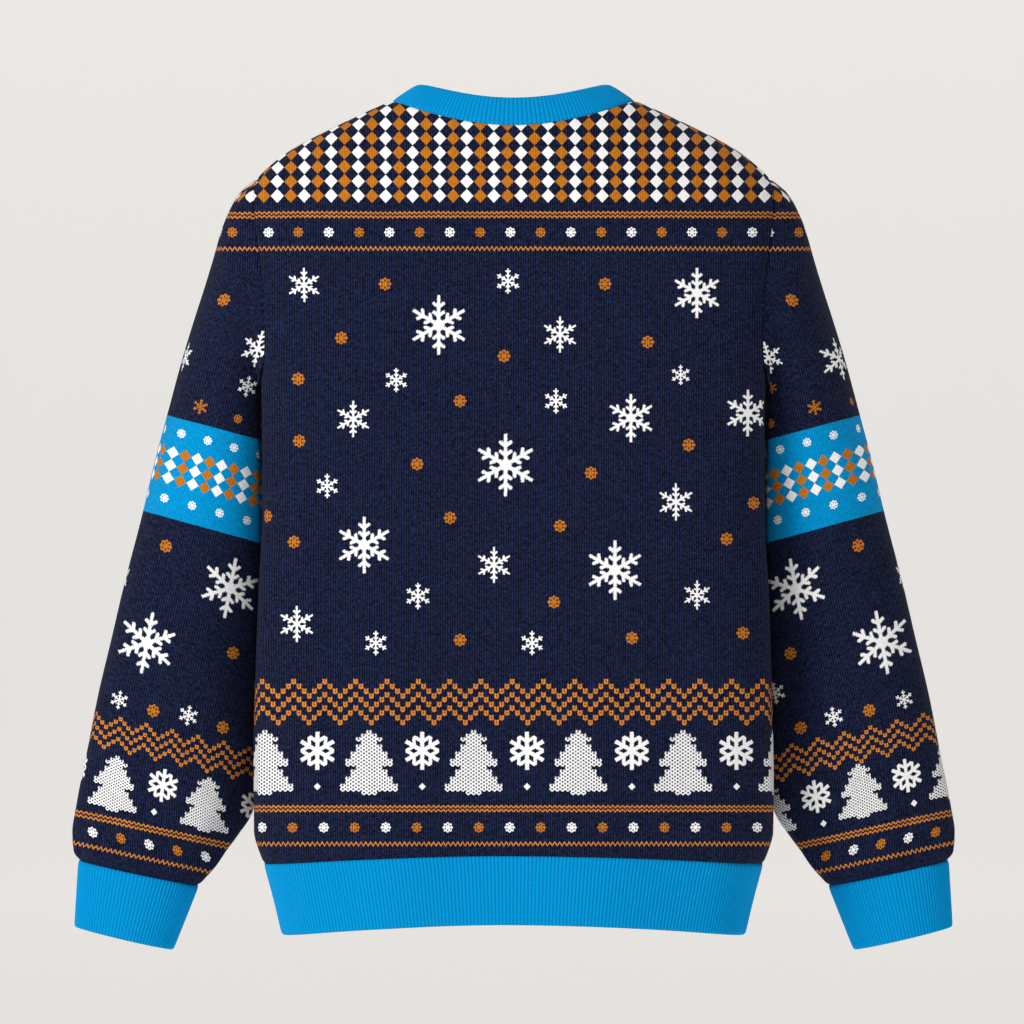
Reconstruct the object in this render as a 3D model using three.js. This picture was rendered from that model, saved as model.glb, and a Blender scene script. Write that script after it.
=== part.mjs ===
// A knitted crew-neck Christmas sweater in the shape it has when worn, hollow, with no wearer.
// Millimetres, +Z up. The origin is the middle of the neck opening at the height of the two
// neck points, where the shoulder seams meet the neckband. The sweater's back faces -Y and
// its front faces +Y. Eight cut pieces: back, front, two sleeves, neckband, hem band, two cuffs.
import * as THREE from "three";

// Driving dimensions
const WALL = 2.4; // thickness of the plain knit
const SEAM_GAP = 0.3; // space between two pieces that are sewn together
const RIB_BASE = 2.0; // thickness of the ribbing in its grooves
const RIB_HEIGHT = 0.9; // how far a rib stands out of its groove
const RIB_PITCH = 4.2; // width of one rib and its groove
const SLEEVE_CLEARANCE = 3.5; // space between a hanging sleeve and the body
const CLEARANCE_TOP = 40; // the sleeve keeps clear from this far above the armpit

const NECK_POINT_X = 103; // half width of the neck seam
const BACK_NECK_DROP = 24; // the neck seam below the neck points, at the centre back
const FRONT_NECK_DROP = 86; // the same at the centre front
const NECKBAND_WIDTH = 27;
const NECKBAND_LEAN = { middle: 0.46, side: 0.86 }; // how far it leans in for each mm of width
const NECKBAND_CURL = 0.1; // and how much it bows outwards half way up

const SHOULDER_Z = -66; // top of the armhole
const ARMPIT_Z = -236; // bottom of the armhole
const BACK_ARMHOLE_CUT = 0.38; // how far the armhole reaches into the back, in radians
const FRONT_ARMHOLE_CUT = 0.52; // and into the front

const SEAM_SIDE_Z = -647; // the hem band's seam at the sides
const SEAM_RISE = { back: 10, front: 7 }; // and how much higher it is at the centre
const HEM_SIDE_Z = -707; // the lower edge of the hem band at the sides
const HEM_RISE = { back: 12, front: 9 };

// The body's horizontal sections: height, half width at the side seams, how far the back and
// the front lie from the centre plane, where the side seam is, and how square each half is.
const BODY = [
  { z: 2, halfWidth: 98, back: 61, front: 50, seamY: -2, backSquare: 2.3, frontSquare: 2.2 },
  { z: 0, halfWidth: 103, back: 63, front: 52, seamY: -2, backSquare: 2.3, frontSquare: 2.2 },
  { z: -20, halfWidth: 147, back: 75, front: 63, seamY: -3, backSquare: 2.2, frontSquare: 2 },
  { z: -42, halfWidth: 189, back: 86, front: 74, seamY: -5, backSquare: 2.1, frontSquare: 1.8 },
  { z: -55, halfWidth: 206, back: 91, front: 80, seamY: -7, backSquare: 2.1, frontSquare: 1.8 },
  { z: -66, halfWidth: 217, back: 95, front: 86, seamY: -8, backSquare: 2.1, frontSquare: 1.8 },
  { z: -80, halfWidth: 225, back: 98, front: 92, seamY: -10, backSquare: 2.2, frontSquare: 1.9 },
  { z: -110, halfWidth: 228, back: 104, front: 101, seamY: -15, backSquare: 2.6, frontSquare: 2.1 },
  { z: -170, halfWidth: 221, back: 110, front: 111, seamY: -24, backSquare: 2.9, frontSquare: 2.2 },
  { z: -236, halfWidth: 213, back: 112, front: 116, seamY: -32, backSquare: 3, frontSquare: 2.2 },
  { z: -330, halfWidth: 212, back: 108, front: 116, seamY: -34, backSquare: 3, frontSquare: 2.2 },
  { z: -450, halfWidth: 217, back: 104, front: 113, seamY: -28, backSquare: 3, frontSquare: 2.3 },
  { z: -560, halfWidth: 220, back: 106, front: 112, seamY: -20, backSquare: 2.9, frontSquare: 2.4 },
  { z: -618, halfWidth: 220, back: 107, front: 111, seamY: -14, backSquare: 2.8, frontSquare: 2.5 },
  { z: -650, halfWidth: 211, back: 101, front: 105, seamY: -12, backSquare: 2.8, frontSquare: 2.6 },
  { z: -680, halfWidth: 203, back: 97, front: 100, seamY: -10, backSquare: 2.8, frontSquare: 2.6 },
  { z: -710, halfWidth: 196, back: 94, front: 97, seamY: -10, backSquare: 2.8, frontSquare: 2.6 },
];

// The soft upright folds that hang from the shoulder blades and the chest: where each crest is
// across the body, how far it reaches to each side, and how far it stands out at the hem.
const FOLDS = {
  back: [
    { x: -99, reach: 55, rise: 5 },
    { x: 62, reach: 95, rise: 6.5 },
    { x: 176, reach: 34, rise: 3.5 },
    { x: -178, reach: 34, rise: 3 },
  ],
  front: [
    { x: -120, reach: 60, rise: 4.5 },
    { x: -10, reach: 75, rise: 4 },
    { x: 112, reach: 58, rise: 5 },
  ],
};
const FOLD_TOP_Z = -170; // the folds begin here
const FOLD_FULL_Z = -560; // and have their whole depth here

// A sleeve's rings, from the armhole to the cuff: the outer and the inner point of each ring
// as seen from behind, the middle of the ring front to back, and its half depth.
const SLEEVE = [
  { outerX: 217, outerZ: -66, innerX: 213, innerZ: -236, midY: -14, halfDepth: 58 },
  { outerX: 231, outerZ: -77, innerX: 214, innerZ: -243, midY: -8, halfDepth: 61 },
  { outerX: 244, outerZ: -100, innerX: 212, innerZ: -249, midY: 0, halfDepth: 64 },
  { outerX: 256, outerZ: -134, innerX: 209, innerZ: -256, midY: 8, halfDepth: 67 },
  { outerX: 269.5, outerZ: -174, innerX: 205, innerZ: -266, midY: 16, halfDepth: 69 },
  { outerX: 281.5, outerZ: -216, innerX: 202, innerZ: -282, midY: 22, halfDepth: 70 },
  { outerX: 294, outerZ: -260, innerX: 200, innerZ: -304, midY: 27, halfDepth: 69 },
  { outerX: 310, outerZ: -320, innerX: 200, innerZ: -348, midY: 31, halfDepth: 67 },
  { outerX: 325.5, outerZ: -383, innerX: 203, innerZ: -408, midY: 34, halfDepth: 64 },
  { outerX: 341.5, outerZ: -447, innerX: 207, innerZ: -472, midY: 35, halfDepth: 61 },
  { outerX: 356, outerZ: -509, innerX: 211, innerZ: -532, midY: 36, halfDepth: 58 },
  { outerX: 366, outerZ: -561, innerX: 216, innerZ: -578, midY: 37, halfDepth: 54 },
  { outerX: 372.5, outerZ: -597, innerX: 222, innerZ: -605, midY: 38, halfDepth: 50 },
  { outerX: 375.5, outerZ: -622, innerX: 237, innerZ: -628, midY: 39, halfDepth: 44 },
  { outerX: 375.5, outerZ: -637, innerX: 254, innerZ: -651, midY: 40, halfDepth: 37 },
  { outerX: 372.5, outerZ: -647, innerX: 269, innerZ: -669, midY: 40, halfDepth: 32 },
];
const SLEEVE_CAP_RINGS = 5; // the rings over which the armhole's own shape fades away

// The sleeve's soft creases: the ring and the angle of the deepest place (0 at the outer edge,
// positive towards the front), how many rings and how far round it reaches, how much it turns
// from ring to ring, and how far it stands out.
const SLEEVE_FOLDS = [
  { ring: 2.5, angle: -2.2, rings: 2.6, turn: 0.32, slant: 0.06, rise: -3.4 },
  { ring: 3.5, angle: -1.4, rings: 2.4, turn: 0.34, slant: 0.05, rise: 2.2 },
  { ring: 3, angle: 2.1, rings: 2.2, turn: 0.35, slant: 0.12, rise: -3 },
  { ring: 8.4, angle: 2.3, rings: 1.3, turn: 0.6, slant: 0.42, rise: -3.4 },
  { ring: 10.2, angle: 1.7, rings: 1.2, turn: 0.6, slant: 0.4, rise: -2.8 },
  { ring: 9.2, angle: -2.3, rings: 1.4, turn: 0.45, slant: -0.3, rise: -2.6 },
  { ring: 11.6, angle: -1.5, rings: 1, turn: 0.6, slant: -0.45, rise: -2.2 },
];

const CUFF = [
  { outerX: 372.5, outerZ: -647, innerX: 269, innerZ: -669, midY: 40, halfDepth: 32 },
  { outerX: 376, outerZ: -704, innerX: 291, innerZ: -724, midY: 42, halfDepth: 26 },
];
const GATHERS = 9; // soft gathers round the lower sleeve, above the cuff
const GATHER_RISE = 1.6;
const GATHER_RINGS = 4; // they run up over this many rings

// How finely each surface is divided
const BODY_COLUMNS = 26;
const BODY_ROWS = { hemToArmpit: 10, armhole: 12, shoulder: 5 };
const SLEEVE_COLUMNS = 24; // twice the armhole's rows, so that the two edges have the same points
const SLEEVE_ROWS = 20;
const RIB_COLUMNS = 2; // outer columns for each rib
const INNER_STEP = 6; // outer columns for each inner column of a ribbed band
const ARC_SAMPLES = 96;

const clamp = (value, low, high) => Math.min(Math.max(value, low), high);
const smooth = (t) => t * t * (3 - 2 * t);
const fade = (value, from, to) => smooth(clamp((value - from) / (to - from), 0, 1));
const power = (base, exponent) => Math.sign(base) * Math.abs(base) ** exponent;

// A smooth curve through a table's column that never swings past its own values.
function columnAt(table, key, column, at) {
  const rising = table[1][key] > table[0][key] ? 1 : -1;
  let i = 0;
  while (i < table.length - 2 && (table[i + 1][key] - at) * rising < 0) i++;
  const slope = (k) =>
    (table[k + 1][column] - table[k][column]) / (table[k + 1][key] - table[k][key]);
  const tangent = (k) => {
    if (k === 0) return slope(0);
    if (k === table.length - 1) return slope(k - 1);
    const [before, after] = [slope(k - 1), slope(k)];
    return before * after <= 0 ? 0 : (2 * before * after) / (before + after);
  };
  const step = table[i + 1][key] - table[i][key];
  const t = clamp((at - table[i][key]) / step, 0, 1);
  return (
    (1 + 2 * t) * (1 - t) ** 2 * table[i][column] +
    t * (1 - t) ** 2 * step * tangent(i) +
    t * t * (3 - 2 * t) * table[i + 1][column] +
    t * t * (t - 1) * step * tangent(i + 1)
  );
}

const rowAt = (table, key, at) =>
  Object.fromEntries(Object.keys(table[0]).map((c) => [c, columnAt(table, key, c, at)]));

// The body

// Where the armhole begins on a section, as an angle from the side seam.
function armholeAngle(z, side) {
  const middle = (SHOULDER_Z + ARMPIT_Z) / 2;
  const along = (z - middle) / (SHOULDER_Z - middle);
  if (Math.abs(along) >= 1) return 0;
  const cut = side === "back" ? BACK_ARMHOLE_CUT : FRONT_ARMHOLE_CUT;
  return cut * Math.sqrt(1 - along * along);
}

function sectionPoint(row, side, angle) {
  const square = side === "back" ? row.backSquare : row.frontSquare;
  const depth = side === "back" ? -row.back - row.seamY : row.front - row.seamY;
  return new THREE.Vector2(
    row.halfWidth * power(Math.cos(angle), 2 / square),
    row.seamY + depth * Math.abs(Math.sin(angle)) ** (2 / square),
  );
}

// How far the folds lift the cloth at this place.
function foldRise(side, x, z) {
  const depth = fade(-z, -FOLD_TOP_Z, -FOLD_FULL_Z);
  return FOLDS[side].reduce((sum, fold) => {
    const t = (x - fold.x) / fold.reach;
    return sum + depth * fold.rise * Math.exp(-t * t * 2);
  }, 0);
}

// The cloth cut away beside the side seam, as a share of half of what is left.
function armholeShare(row, side, start, whole) {
  if (start === 0) return 0;
  const seam = sectionPoint(row, side, 0);
  const middle = sectionPoint(row, side, start / 2);
  const edge = sectionPoint(row, side, start);
  return (seam.distanceTo(middle) + middle.distanceTo(edge)) / (whole / 2);
}

// A point of the front or the back, at a height and a share of the way from the wearer's left
// seam (-1) to the right seam (1), measured along the cloth.
function bodyPoint(side, z, share) {
  const row = rowAt(BODY, "z", z);
  const start = armholeAngle(z, side);
  const points = [];
  const lengths = [0];
  for (let i = 0; i <= ARC_SAMPLES; i++) {
    // Samples crowd towards the seams, where the section turns fastest.
    const t = smooth(i / ARC_SAMPLES);
    points.push(sectionPoint(row, side, Math.PI - start - t * (Math.PI - 2 * start)));
    if (i > 0) lengths.push(lengths[i - 1] + points[i].distanceTo(points[i - 1]));
  }
  // The armhole takes its cut from the columns beside it, and less and less from the others.
  const whole = lengths[ARC_SAMPLES];
  const cut = armholeShare(row, side, start, whole);
  const moved = share - cut * share * (Math.abs(share) ** 1.5 - 1);
  const target = clamp(((moved + 1) / 2) * whole, SEAM_GAP / 2, whole - SEAM_GAP / 2);
  let i = 1;
  while (i < ARC_SAMPLES && lengths[i] < target) i++;
  const t = clamp((target - lengths[i - 1]) / (lengths[i] - lengths[i - 1]), 0, 1);
  const flat = points[i - 1].clone().lerp(points[i], t);
  const away = side === "back" ? -1 : 1;
  const shareIn = 1 - Math.abs(share) ** 6;
  flat.y += away * shareIn * foldRise(side, flat.x, z);
  return new THREE.Vector3(flat.x, flat.y, z);
}

// The height of the neck seam above a place across the body, or of a line outside it by gap.
function neckSeamZ(side, x, gap) {
  const t = clamp(Math.abs(x) / (NECK_POINT_X + gap), 0, 1);
  return side === "back"
    ? -gap - BACK_NECK_DROP * (1 - t * t)
    : -gap - FRONT_NECK_DROP * (1 - t ** 2.4) ** (1 / 1.7);
}

// The heights at which a column of the body's cloth ends: its top edge and its seam to the hem.
function columnTop(side, share, gap) {
  let [low, high] = [-FRONT_NECK_DROP - 40, 0];
  for (let i = 0; i < 30; i++) {
    const z = (low + high) / 2;
    if (z > neckSeamZ(side, bodyPoint(side, z, share).x, gap)) high = z;
    else low = z;
  }
  return (low + high) / 2;
}

const edgeZ = (sideZ, rise, x, halfWidth) => sideZ + rise * (1 - (x / halfWidth) ** 2);

function columnEnd(side, share, sideZ, rise) {
  const x = bodyPoint(side, sideZ, share).x;
  return edgeZ(sideZ, rise[side], x, columnAt(BODY, "z", "halfWidth", sideZ));
}

const evenly = (from, to, steps) =>
  Array.from({ length: steps }, (_, i) => from + ((to - from) * i) / steps);

// The direction out of the cloth of the front or the back.
function bodyNormal(side, z, share) {
  const across = bodyPoint(side, z, share + 0.01).sub(bodyPoint(side, z, share - 0.01));
  const up = bodyPoint(side, z + 1, share).sub(bodyPoint(side, z - 1, share));
  const normal = side === "back" ? across.cross(up) : up.cross(across);
  if (Math.abs(share) > 0.999) normal.setY(0);
  return normal.normalize();
}

// The cloth's columns, as shares from the wearer's left seam (-1) to the right one (1). They
// crowd towards the seams, where the sections turn fastest.
const COLUMN_SHARES = Array.from({ length: BODY_COLUMNS + 1 }, (_, j) => {
  const even = (2 * j) / BODY_COLUMNS - 1;
  return 0.6 * even + 0.4 * Math.sin((Math.PI / 2) * even);
});

// Walls

// Normals of a grid of points, from its own faces. Rings close on themselves.
function gridNormals(grid, closed) {
  const columns = grid[0].length;
  const at = (i, j) => {
    const row = grid[clamp(i, 0, grid.length - 1)];
    return closed ? row[(j + columns) % columns] : row[clamp(j, 0, columns - 1)];
  };
  return grid.map((row, i) =>
    row.map((_, j) => {
      const across = at(i, j + 1).clone().sub(at(i, j - 1));
      const along = at(i + 1, j).clone().sub(at(i - 1, j));
      return across.cross(along).normalize();
    }),
  );
}

// A closed wall between an outer and an inner grid. The inner grid may have fewer columns: then
// one of its columns stands for outerStep of the outer ones.
function wallGeometry(outer, inner, closed, outerStep = 1) {
  const points = [...outer.flat(), ...inner.flat()];
  const outerColumns = outer[0].length;
  const innerColumns = inner[0].length;
  const rows = outer.length;
  const out = (i, j) => i * outerColumns + (closed ? j % outerColumns : j);
  const into = (i, j) => rows * outerColumns + i * innerColumns + (closed ? j % innerColumns : j);
  const faces = [];
  const quad = (a, b, c, d) => faces.push(a, b, c, a, c, d);
  const outerSpans = closed ? outerColumns : outerColumns - 1;
  const innerSpans = closed ? innerColumns : innerColumns - 1;
  for (let i = 0; i < rows - 1; i++) {
    for (let j = 0; j < outerSpans; j++)
      quad(out(i, j), out(i, j + 1), out(i + 1, j + 1), out(i + 1, j));
    for (let j = 0; j < innerSpans; j++)
      quad(into(i, j + 1), into(i, j), into(i + 1, j), into(i + 1, j + 1));
  }
  // The rims at the first and the last row
  for (const [i, turned] of [[0, false], [rows - 1, true]])
    for (let j = 0; j < innerSpans; j++) {
      const middle = j * outerStep + Math.ceil(outerStep / 2);
      const face = (a, b, c) => (turned ? faces.push(a, b, c) : faces.push(b, a, c));
      for (let k = j * outerStep; k < (j + 1) * outerStep; k++)
        face(out(i, k), out(i, k + 1), into(i, k < middle ? j : j + 1));
      face(out(i, middle), into(i, j + 1), into(i, j));
    }
  // The edges of an open wall
  if (!closed)
    for (let i = 0; i < rows - 1; i++) {
      quad(out(i, 0), out(i + 1, 0), into(i + 1, 0), into(i, 0));
      const [j, k] = [outerColumns - 1, innerColumns - 1];
      quad(out(i + 1, j), out(i, j), into(i, k), into(i + 1, k));
    }
  return closedGeometry(points, faces);
}

// The geometry of a closed surface, with its faces turned to point outwards.
function closedGeometry(points, faces) {
  let volume = 0;
  for (let i = 0; i < faces.length; i += 3) {
    const [a, b, c] = [points[faces[i]], points[faces[i + 1]], points[faces[i + 2]]];
    volume += a.dot(b.clone().cross(c));
  }
  if (volume < 0)
    for (let i = 0; i < faces.length; i += 3)
      [faces[i], faces[i + 1]] = [faces[i + 1], faces[i]];
  const geometry = new THREE.BufferGeometry().setFromPoints(points);
  geometry.setIndex(faces);
  geometry.computeVertexNormals();
  return geometry;
}

const inward = (point, normal, depth) => point.clone().addScaledVector(normal, -depth);

// The direction from the middle of the armhole to its edge, in the armhole's own plane.
function armholeRadial(point) {
  const middle = new THREE.Vector3(point.x, SLEEVE[0].midY, (SHOULDER_Z + ARMPIT_Z) / 2);
  return point.clone().sub(middle).setX(0).normalize();
}

// How far inside its outer edge the wall lies at the armhole. Both sides of the seam lean the
// same way at the shoulder and part from each other towards the armpit.
function armholeNormal(point, own) {
  const low = clamp((SHOULDER_Z - point.z) / (SHOULDER_Z - ARMPIT_Z), 0, 1);
  return armholeRadial(point).addScaledVector(own, low).normalize();
}

// A front or back panel

function panelGrid(side) {
  const heights = [
    ...evenly(SEAM_SIDE_Z + SEAM_GAP / 2, ARMPIT_Z, BODY_ROWS.hemToArmpit),
    ...evenly(Math.PI, 0, BODY_ROWS.armhole).map((angle) => armholePoint(angle).z),
    ...evenly(SHOULDER_Z, -SEAM_GAP, BODY_ROWS.shoulder),
    -SEAM_GAP,
  ];
  const tops = COLUMN_SHARES.map((share) => columnTop(side, share, SEAM_GAP));
  const ends = COLUMN_SHARES.map((share) => columnEnd(side, share, SEAM_SIDE_Z, SEAM_RISE));
  return heights.map((height) => {
    const t = (height - heights[0]) / (heights[heights.length - 1] - heights[0]);
    return COLUMN_SHARES.map((share, j) => {
      const low = ends[j] + SEAM_GAP / 2;
      return bodyPoint(side, low + t * (tops[j] - low), share);
    });
  });
}

function panelGeometry(side) {
  const outer = panelGrid(side);
  const normals = gridNormals(outer, false);
  const away = side === "back" ? 1 : -1;
  const last = outer[0].length - 1;
  const inner = outer.map((row, i) =>
    row.map((point, j) => {
      const normal = normals[i][j].multiplyScalar(away);
      if (i === outer.length - 1)
        return inward(point, bodyNormal(side, point.z, COLUMN_SHARES[j]), WALL);
      if (j === 0 || j === last) {
        const open = armholeAngle(point.z, side) > 0;
        if (open) return inward(point, armholeNormal(point, normal), WALL);
        normal.setY(0).normalize(); // side and shoulder seams meet edge to edge
      }
      if (i === 0) normal.setZ(0).normalize(); // and so does the hem band
      return inward(point, normal, WALL);
    }),
  );
  return wallGeometry(outer, inner, false);
}

// Sleeves and cuffs. These are the wearer's right ones, at +X; the left ones are mirrored.

function ringPoint(ring, angle) {
  const middle = new THREE.Vector3(
    (ring.outerX + ring.innerX) / 2,
    ring.midY,
    (ring.outerZ + ring.innerZ) / 2,
  );
  const across = new THREE.Vector3(ring.outerX, ring.midY, ring.outerZ).sub(middle);
  return middle
    .addScaledVector(across, Math.cos(angle))
    .add(new THREE.Vector3(0, ring.halfDepth * Math.sin(angle), 0));
}

// The edge of the armhole, from its top (0) round the front to its bottom (pi).
function armholePoint(angle) {
  const z = (SHOULDER_Z + ARMPIT_Z) / 2 + ((SHOULDER_Z - ARMPIT_Z) / 2) * Math.cos(angle);
  const side = Math.sin(angle) > 0 ? "front" : "back";
  const flat = sectionPoint(rowAt(BODY, "z", z), side, armholeAngle(z, side));
  return new THREE.Vector3(flat.x, flat.y, z);
}

// Moves a point of the sleeve out to where the body leaves it room.
function clearOfBody(point, room) {
  const row = rowAt(BODY, "z", point.z);
  const side = point.y < row.seamY ? "back" : "front";
  const square = side === "back" ? row.backSquare : row.frontSquare;
  const fold = foldRise(side, point.x, point.z);
  const depth = Math.abs((side === "back" ? -row.back : row.front) - row.seamY) + room + fold;
  const share = Math.abs(point.y - row.seamY) / depth;
  if (share >= 1) return point;
  const least = (row.halfWidth + room) * (1 - share ** square) ** (1 / square);
  return point.setX(Math.max(point.x, least));
}

function sleeveFoldRise(at, angle) {
  return SLEEVE_FOLDS.reduce((sum, fold) => {
    const along = (at - fold.ring) / fold.rings;
    const turned = angle - fold.angle - fold.slant * (at - fold.ring);
    const round = Math.atan2(Math.sin(turned), Math.cos(turned)) / fold.turn;
    return sum + fold.rise * Math.exp(-along * along - round * round);
  }, 0);
}

function sleevePoint(at, angle) {
  const numbered = SLEEVE.map((ring, ringNumber) => ({ ...ring, ringNumber }));
  const ring = rowAt(numbered, "ringNumber", at);
  const point = ringPoint(ring, angle);
  const cap = 1 - fade(at, 0, SLEEVE_CAP_RINGS);
  point.addScaledVector(armholePoint(angle).sub(ringPoint(SLEEVE[0], angle)), cap);
  const lastRing = SLEEVE.length - 1;
  const nearCuff = fade(at, lastRing - GATHER_RINGS, lastRing - 1.2) * fade(lastRing - at, 0, 1);
  const middle = new THREE.Vector3((ring.outerX + ring.innerX) / 2, ring.midY, point.z);
  const outwards = point.clone().sub(middle).setZ(0).normalize();
  const gather = nearCuff * GATHER_RISE * Math.cos(GATHERS * angle + 0.6);
  point.addScaledVector(outwards, gather + sleeveFoldRise(at, angle));
  if (point.z > ARMPIT_Z + CLEARANCE_TOP) return point;
  return clearOfBody(point, SEAM_GAP + SLEEVE_CLEARANCE * fade(at, 0, 2));
}

const ringAngles = (columns) =>
  Array.from({ length: columns }, (_, j) => (2 * Math.PI * j) / columns);

// The plane of the seam between the sleeve and its cuff, as a unit normal.
function cuffSeamNormal() {
  const { outerX, outerZ, innerX, innerZ } = CUFF[0];
  return new THREE.Vector3(outerZ - innerZ, 0, innerX - outerX).normalize();
}

const inPlane = (normal, plane) => normal.addScaledVector(plane, -normal.dot(plane)).normalize();

function sleeveGeometry() {
  const lastRing = SLEEVE.length - 1;
  const outer = Array.from({ length: SLEEVE_ROWS + 1 }, (_, i) =>
    ringAngles(SLEEVE_COLUMNS).map((angle) => sleevePoint((lastRing * i) / SLEEVE_ROWS, angle)),
  );
  outer[0].forEach((point) => point.setX(point.x + SEAM_GAP));
  outer[SLEEVE_ROWS].forEach((point) => point.addScaledVector(cuffSeamNormal(), -SEAM_GAP / 2));
  const normals = gridNormals(outer, true);
  const inner = outer.map((row, i) =>
    row.map((point, j) => {
      const normal = normals[i][j].negate();
      if (i === 0) return inward(point, armholeNormal(point, normal), WALL);
      if (i === SLEEVE_ROWS) inPlane(normal, cuffSeamNormal());
      return inward(point, normal, WALL);
    }),
  );
  return wallGeometry(outer, inner, true);
}

// Ribbed bands

// A ribbed tube through rings of outer points. The ribs are raised in its outer points over a
// plain inside. normalsOf says which way is out of the cloth at each point.
function ribbedGeometry(ribs, rings, normalsOf) {
  const columns = ribs * RIB_COLUMNS;
  const smoothOuter = rings(columns);
  const normals = normalsOf(smoothOuter);
  const outer = smoothOuter.map((row, i) =>
    row.map((point, j) => inward(point, normals[i][j], j % RIB_COLUMNS === 0 ? 0 : RIB_HEIGHT)),
  );
  const inner = smoothOuter.map((row, i) =>
    row
      .filter((_, j) => j % INNER_STEP === 0)
      .map((point, j) =>
        inward(point, normals[i][j * INNER_STEP], RIB_HEIGHT + RIB_BASE),
      ),
  );
  return wallGeometry(outer, inner, true, INNER_STEP);
}

// The number of ribs that fit a length, as a multiple that the plain inside can follow.
function ribCount(length) {
  const multiple = INNER_STEP / RIB_COLUMNS;
  return multiple * Math.round(length / RIB_PITCH / multiple);
}

function ringLength(points) {
  return points.reduce(
    (sum, point, i) => sum + point.distanceTo(points[(i + 1) % points.length]),
    0,
  );
}

// Columns all round the body: the back from the wearer's left seam to the right one, then the
// front from right to left.
function roundBody(columns, pointAt) {
  const half = columns / 2;
  return Array.from({ length: columns }, (_, j) =>
    j < half ? pointAt("back", (2 * j) / half - 1) : pointAt("front", 1 - (2 * (j - half)) / half),
  );
}

// Normals of a ring-by-ring grid, level at the rows named in level.
function levelNormals(grid, turn, level) {
  return gridNormals(grid, true).map((row, i) =>
    row.map((normal) => {
      normal.multiplyScalar(turn);
      return level.includes(i) ? normal.setZ(0).normalize() : normal;
    }),
  );
}

function hemBandGeometry() {
  const ring = (columns, sideZ, rise, lift) =>
    roundBody(columns, (side, share) => {
      const z = columnEnd(side, share, sideZ, rise) + lift;
      return bodyPoint(side, z, share);
    });
  const rings = (columns) => [
    ring(columns, HEM_SIDE_Z, HEM_RISE, 0),
    ring(columns, SEAM_SIDE_Z, SEAM_RISE, -SEAM_GAP / 2),
  ];
  const ribs = 2 * ribCount(ringLength(rings(120)[1]) / 2);
  return ribbedGeometry(ribs, rings, (grid) => levelNormals(grid, 1, [0, 1]));
}

function cuffGeometry() {
  const rings = (columns) =>
    [0, 1].map((i) =>
      ringAngles(columns).map((angle) =>
        ringPoint(CUFF[i], angle).addScaledVector(cuffSeamNormal(), i === 0 ? SEAM_GAP / 2 : 0),
      ),
    );
  const ribs = ribCount(ringLength(rings(120)[0]));
  return ribbedGeometry(ribs, rings, (grid) =>
    gridNormals(grid, true).map((row) =>
      row.map((normal) => inPlane(normal.negate(), cuffSeamNormal())),
    ),
  );
}

// The neckband stands on the neck seam and leans in over the opening: steeply at the centre
// back and front, more at the neck points.
function neckbandGeometry() {
  // Between two columns of the body's cloth its edge is straight, and the band follows it.
  const between = (side, share, valueAt) => {
    const next = clamp(COLUMN_SHARES.findIndex((s) => s >= share), 1, BODY_COLUMNS);
    const [before, after] = [COLUMN_SHARES[next - 1], COLUMN_SHARES[next]];
    const t = (share - before) / (after - before);
    return valueAt(side, before).lerp(valueAt(side, after), t);
  };
  const seamPoint = (side, share) => bodyPoint(side, columnTop(side, share, 0), share);
  const seamNormal = (side, share) => bodyNormal(side, columnTop(side, share, 0), share);
  const around = (columns, valueAt) =>
    roundBody(columns, (side, share) => between(side, share, valueAt));
  const rings = (columns) => {
    const seam = around(columns, seamPoint);
    return [0, 0.5, 1].map((t) =>
      seam.map((point) => {
        const atSide = clamp(Math.abs(point.x) / NECK_POINT_X, 0, 1) ** 2;
        const { middle, side } = NECKBAND_LEAN;
        const lean = middle + (side - middle) * atSide - NECKBAND_CURL * t * (1 - t);
        const outwards = new THREE.Vector3(point.x, point.y, 0).normalize();
        return point
          .clone()
          .addScaledVector(outwards, -lean * t * NECKBAND_WIDTH)
          .add(new THREE.Vector3(0, 0, Math.sqrt(1 - lean * lean) * t * NECKBAND_WIDTH));
      }),
    );
  };
  const ribs = 2 * ribCount(ringLength(rings(120)[0]) / 2);
  return ribbedGeometry(ribs, rings, (grid) => {
    const atSeam = around(grid[0].length, seamNormal);
    return [atSeam.map((normal) => normal.normalize()), ...gridNormals(grid, true).slice(1)];
  });
}

// Assembly

const navyKnit = () =>
  new THREE.MeshStandardMaterial({ color: 0x1b2140, roughness: 0.95, metalness: 0 });
const blueRib = () =>
  new THREE.MeshStandardMaterial({ color: 0x0595d5, roughness: 0.9, metalness: 0 });

function named(name, geometry, material) {
  const mesh = new THREE.Mesh(geometry, material);
  mesh.name = name;
  return mesh;
}

// The same geometry on the other side of the body.
function mirrored(geometry) {
  const other = geometry.clone();
  other.scale(-1, 1, 1);
  const index = other.index.array;
  for (let i = 0; i < index.length; i += 3)
    [index[i], index[i + 1]] = [index[i + 1], index[i]];
  other.computeVertexNormals();
  return other;
}

const sweater = new THREE.Group();
const sleeve = sleeveGeometry();
const cuff = cuffGeometry();
sweater.add(
  named("back_panel", panelGeometry("back"), navyKnit()),
  named("front_panel", panelGeometry("front"), navyKnit()),
  named("sleeve_right", sleeve, navyKnit()),
  named("sleeve_left", mirrored(sleeve), navyKnit()),
  named("neckband", neckbandGeometry(), blueRib()),
  named("hem_band", hemBandGeometry(), blueRib()),
  named("cuff_right", cuff, blueRib()),
  named("cuff_left", mirrored(cuff), blueRib()),
);

export default sweater;
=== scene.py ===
# A knitted crew-neck Christmas sweater, filled out as when worn, with no wearer.
# The cloth is rebuilt finely over the eight CAD pieces, from the same sizes in millimetres, and
# gets its folds, its ribs and its knitted pattern. The camera sees the sweater's back.
import math

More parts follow.
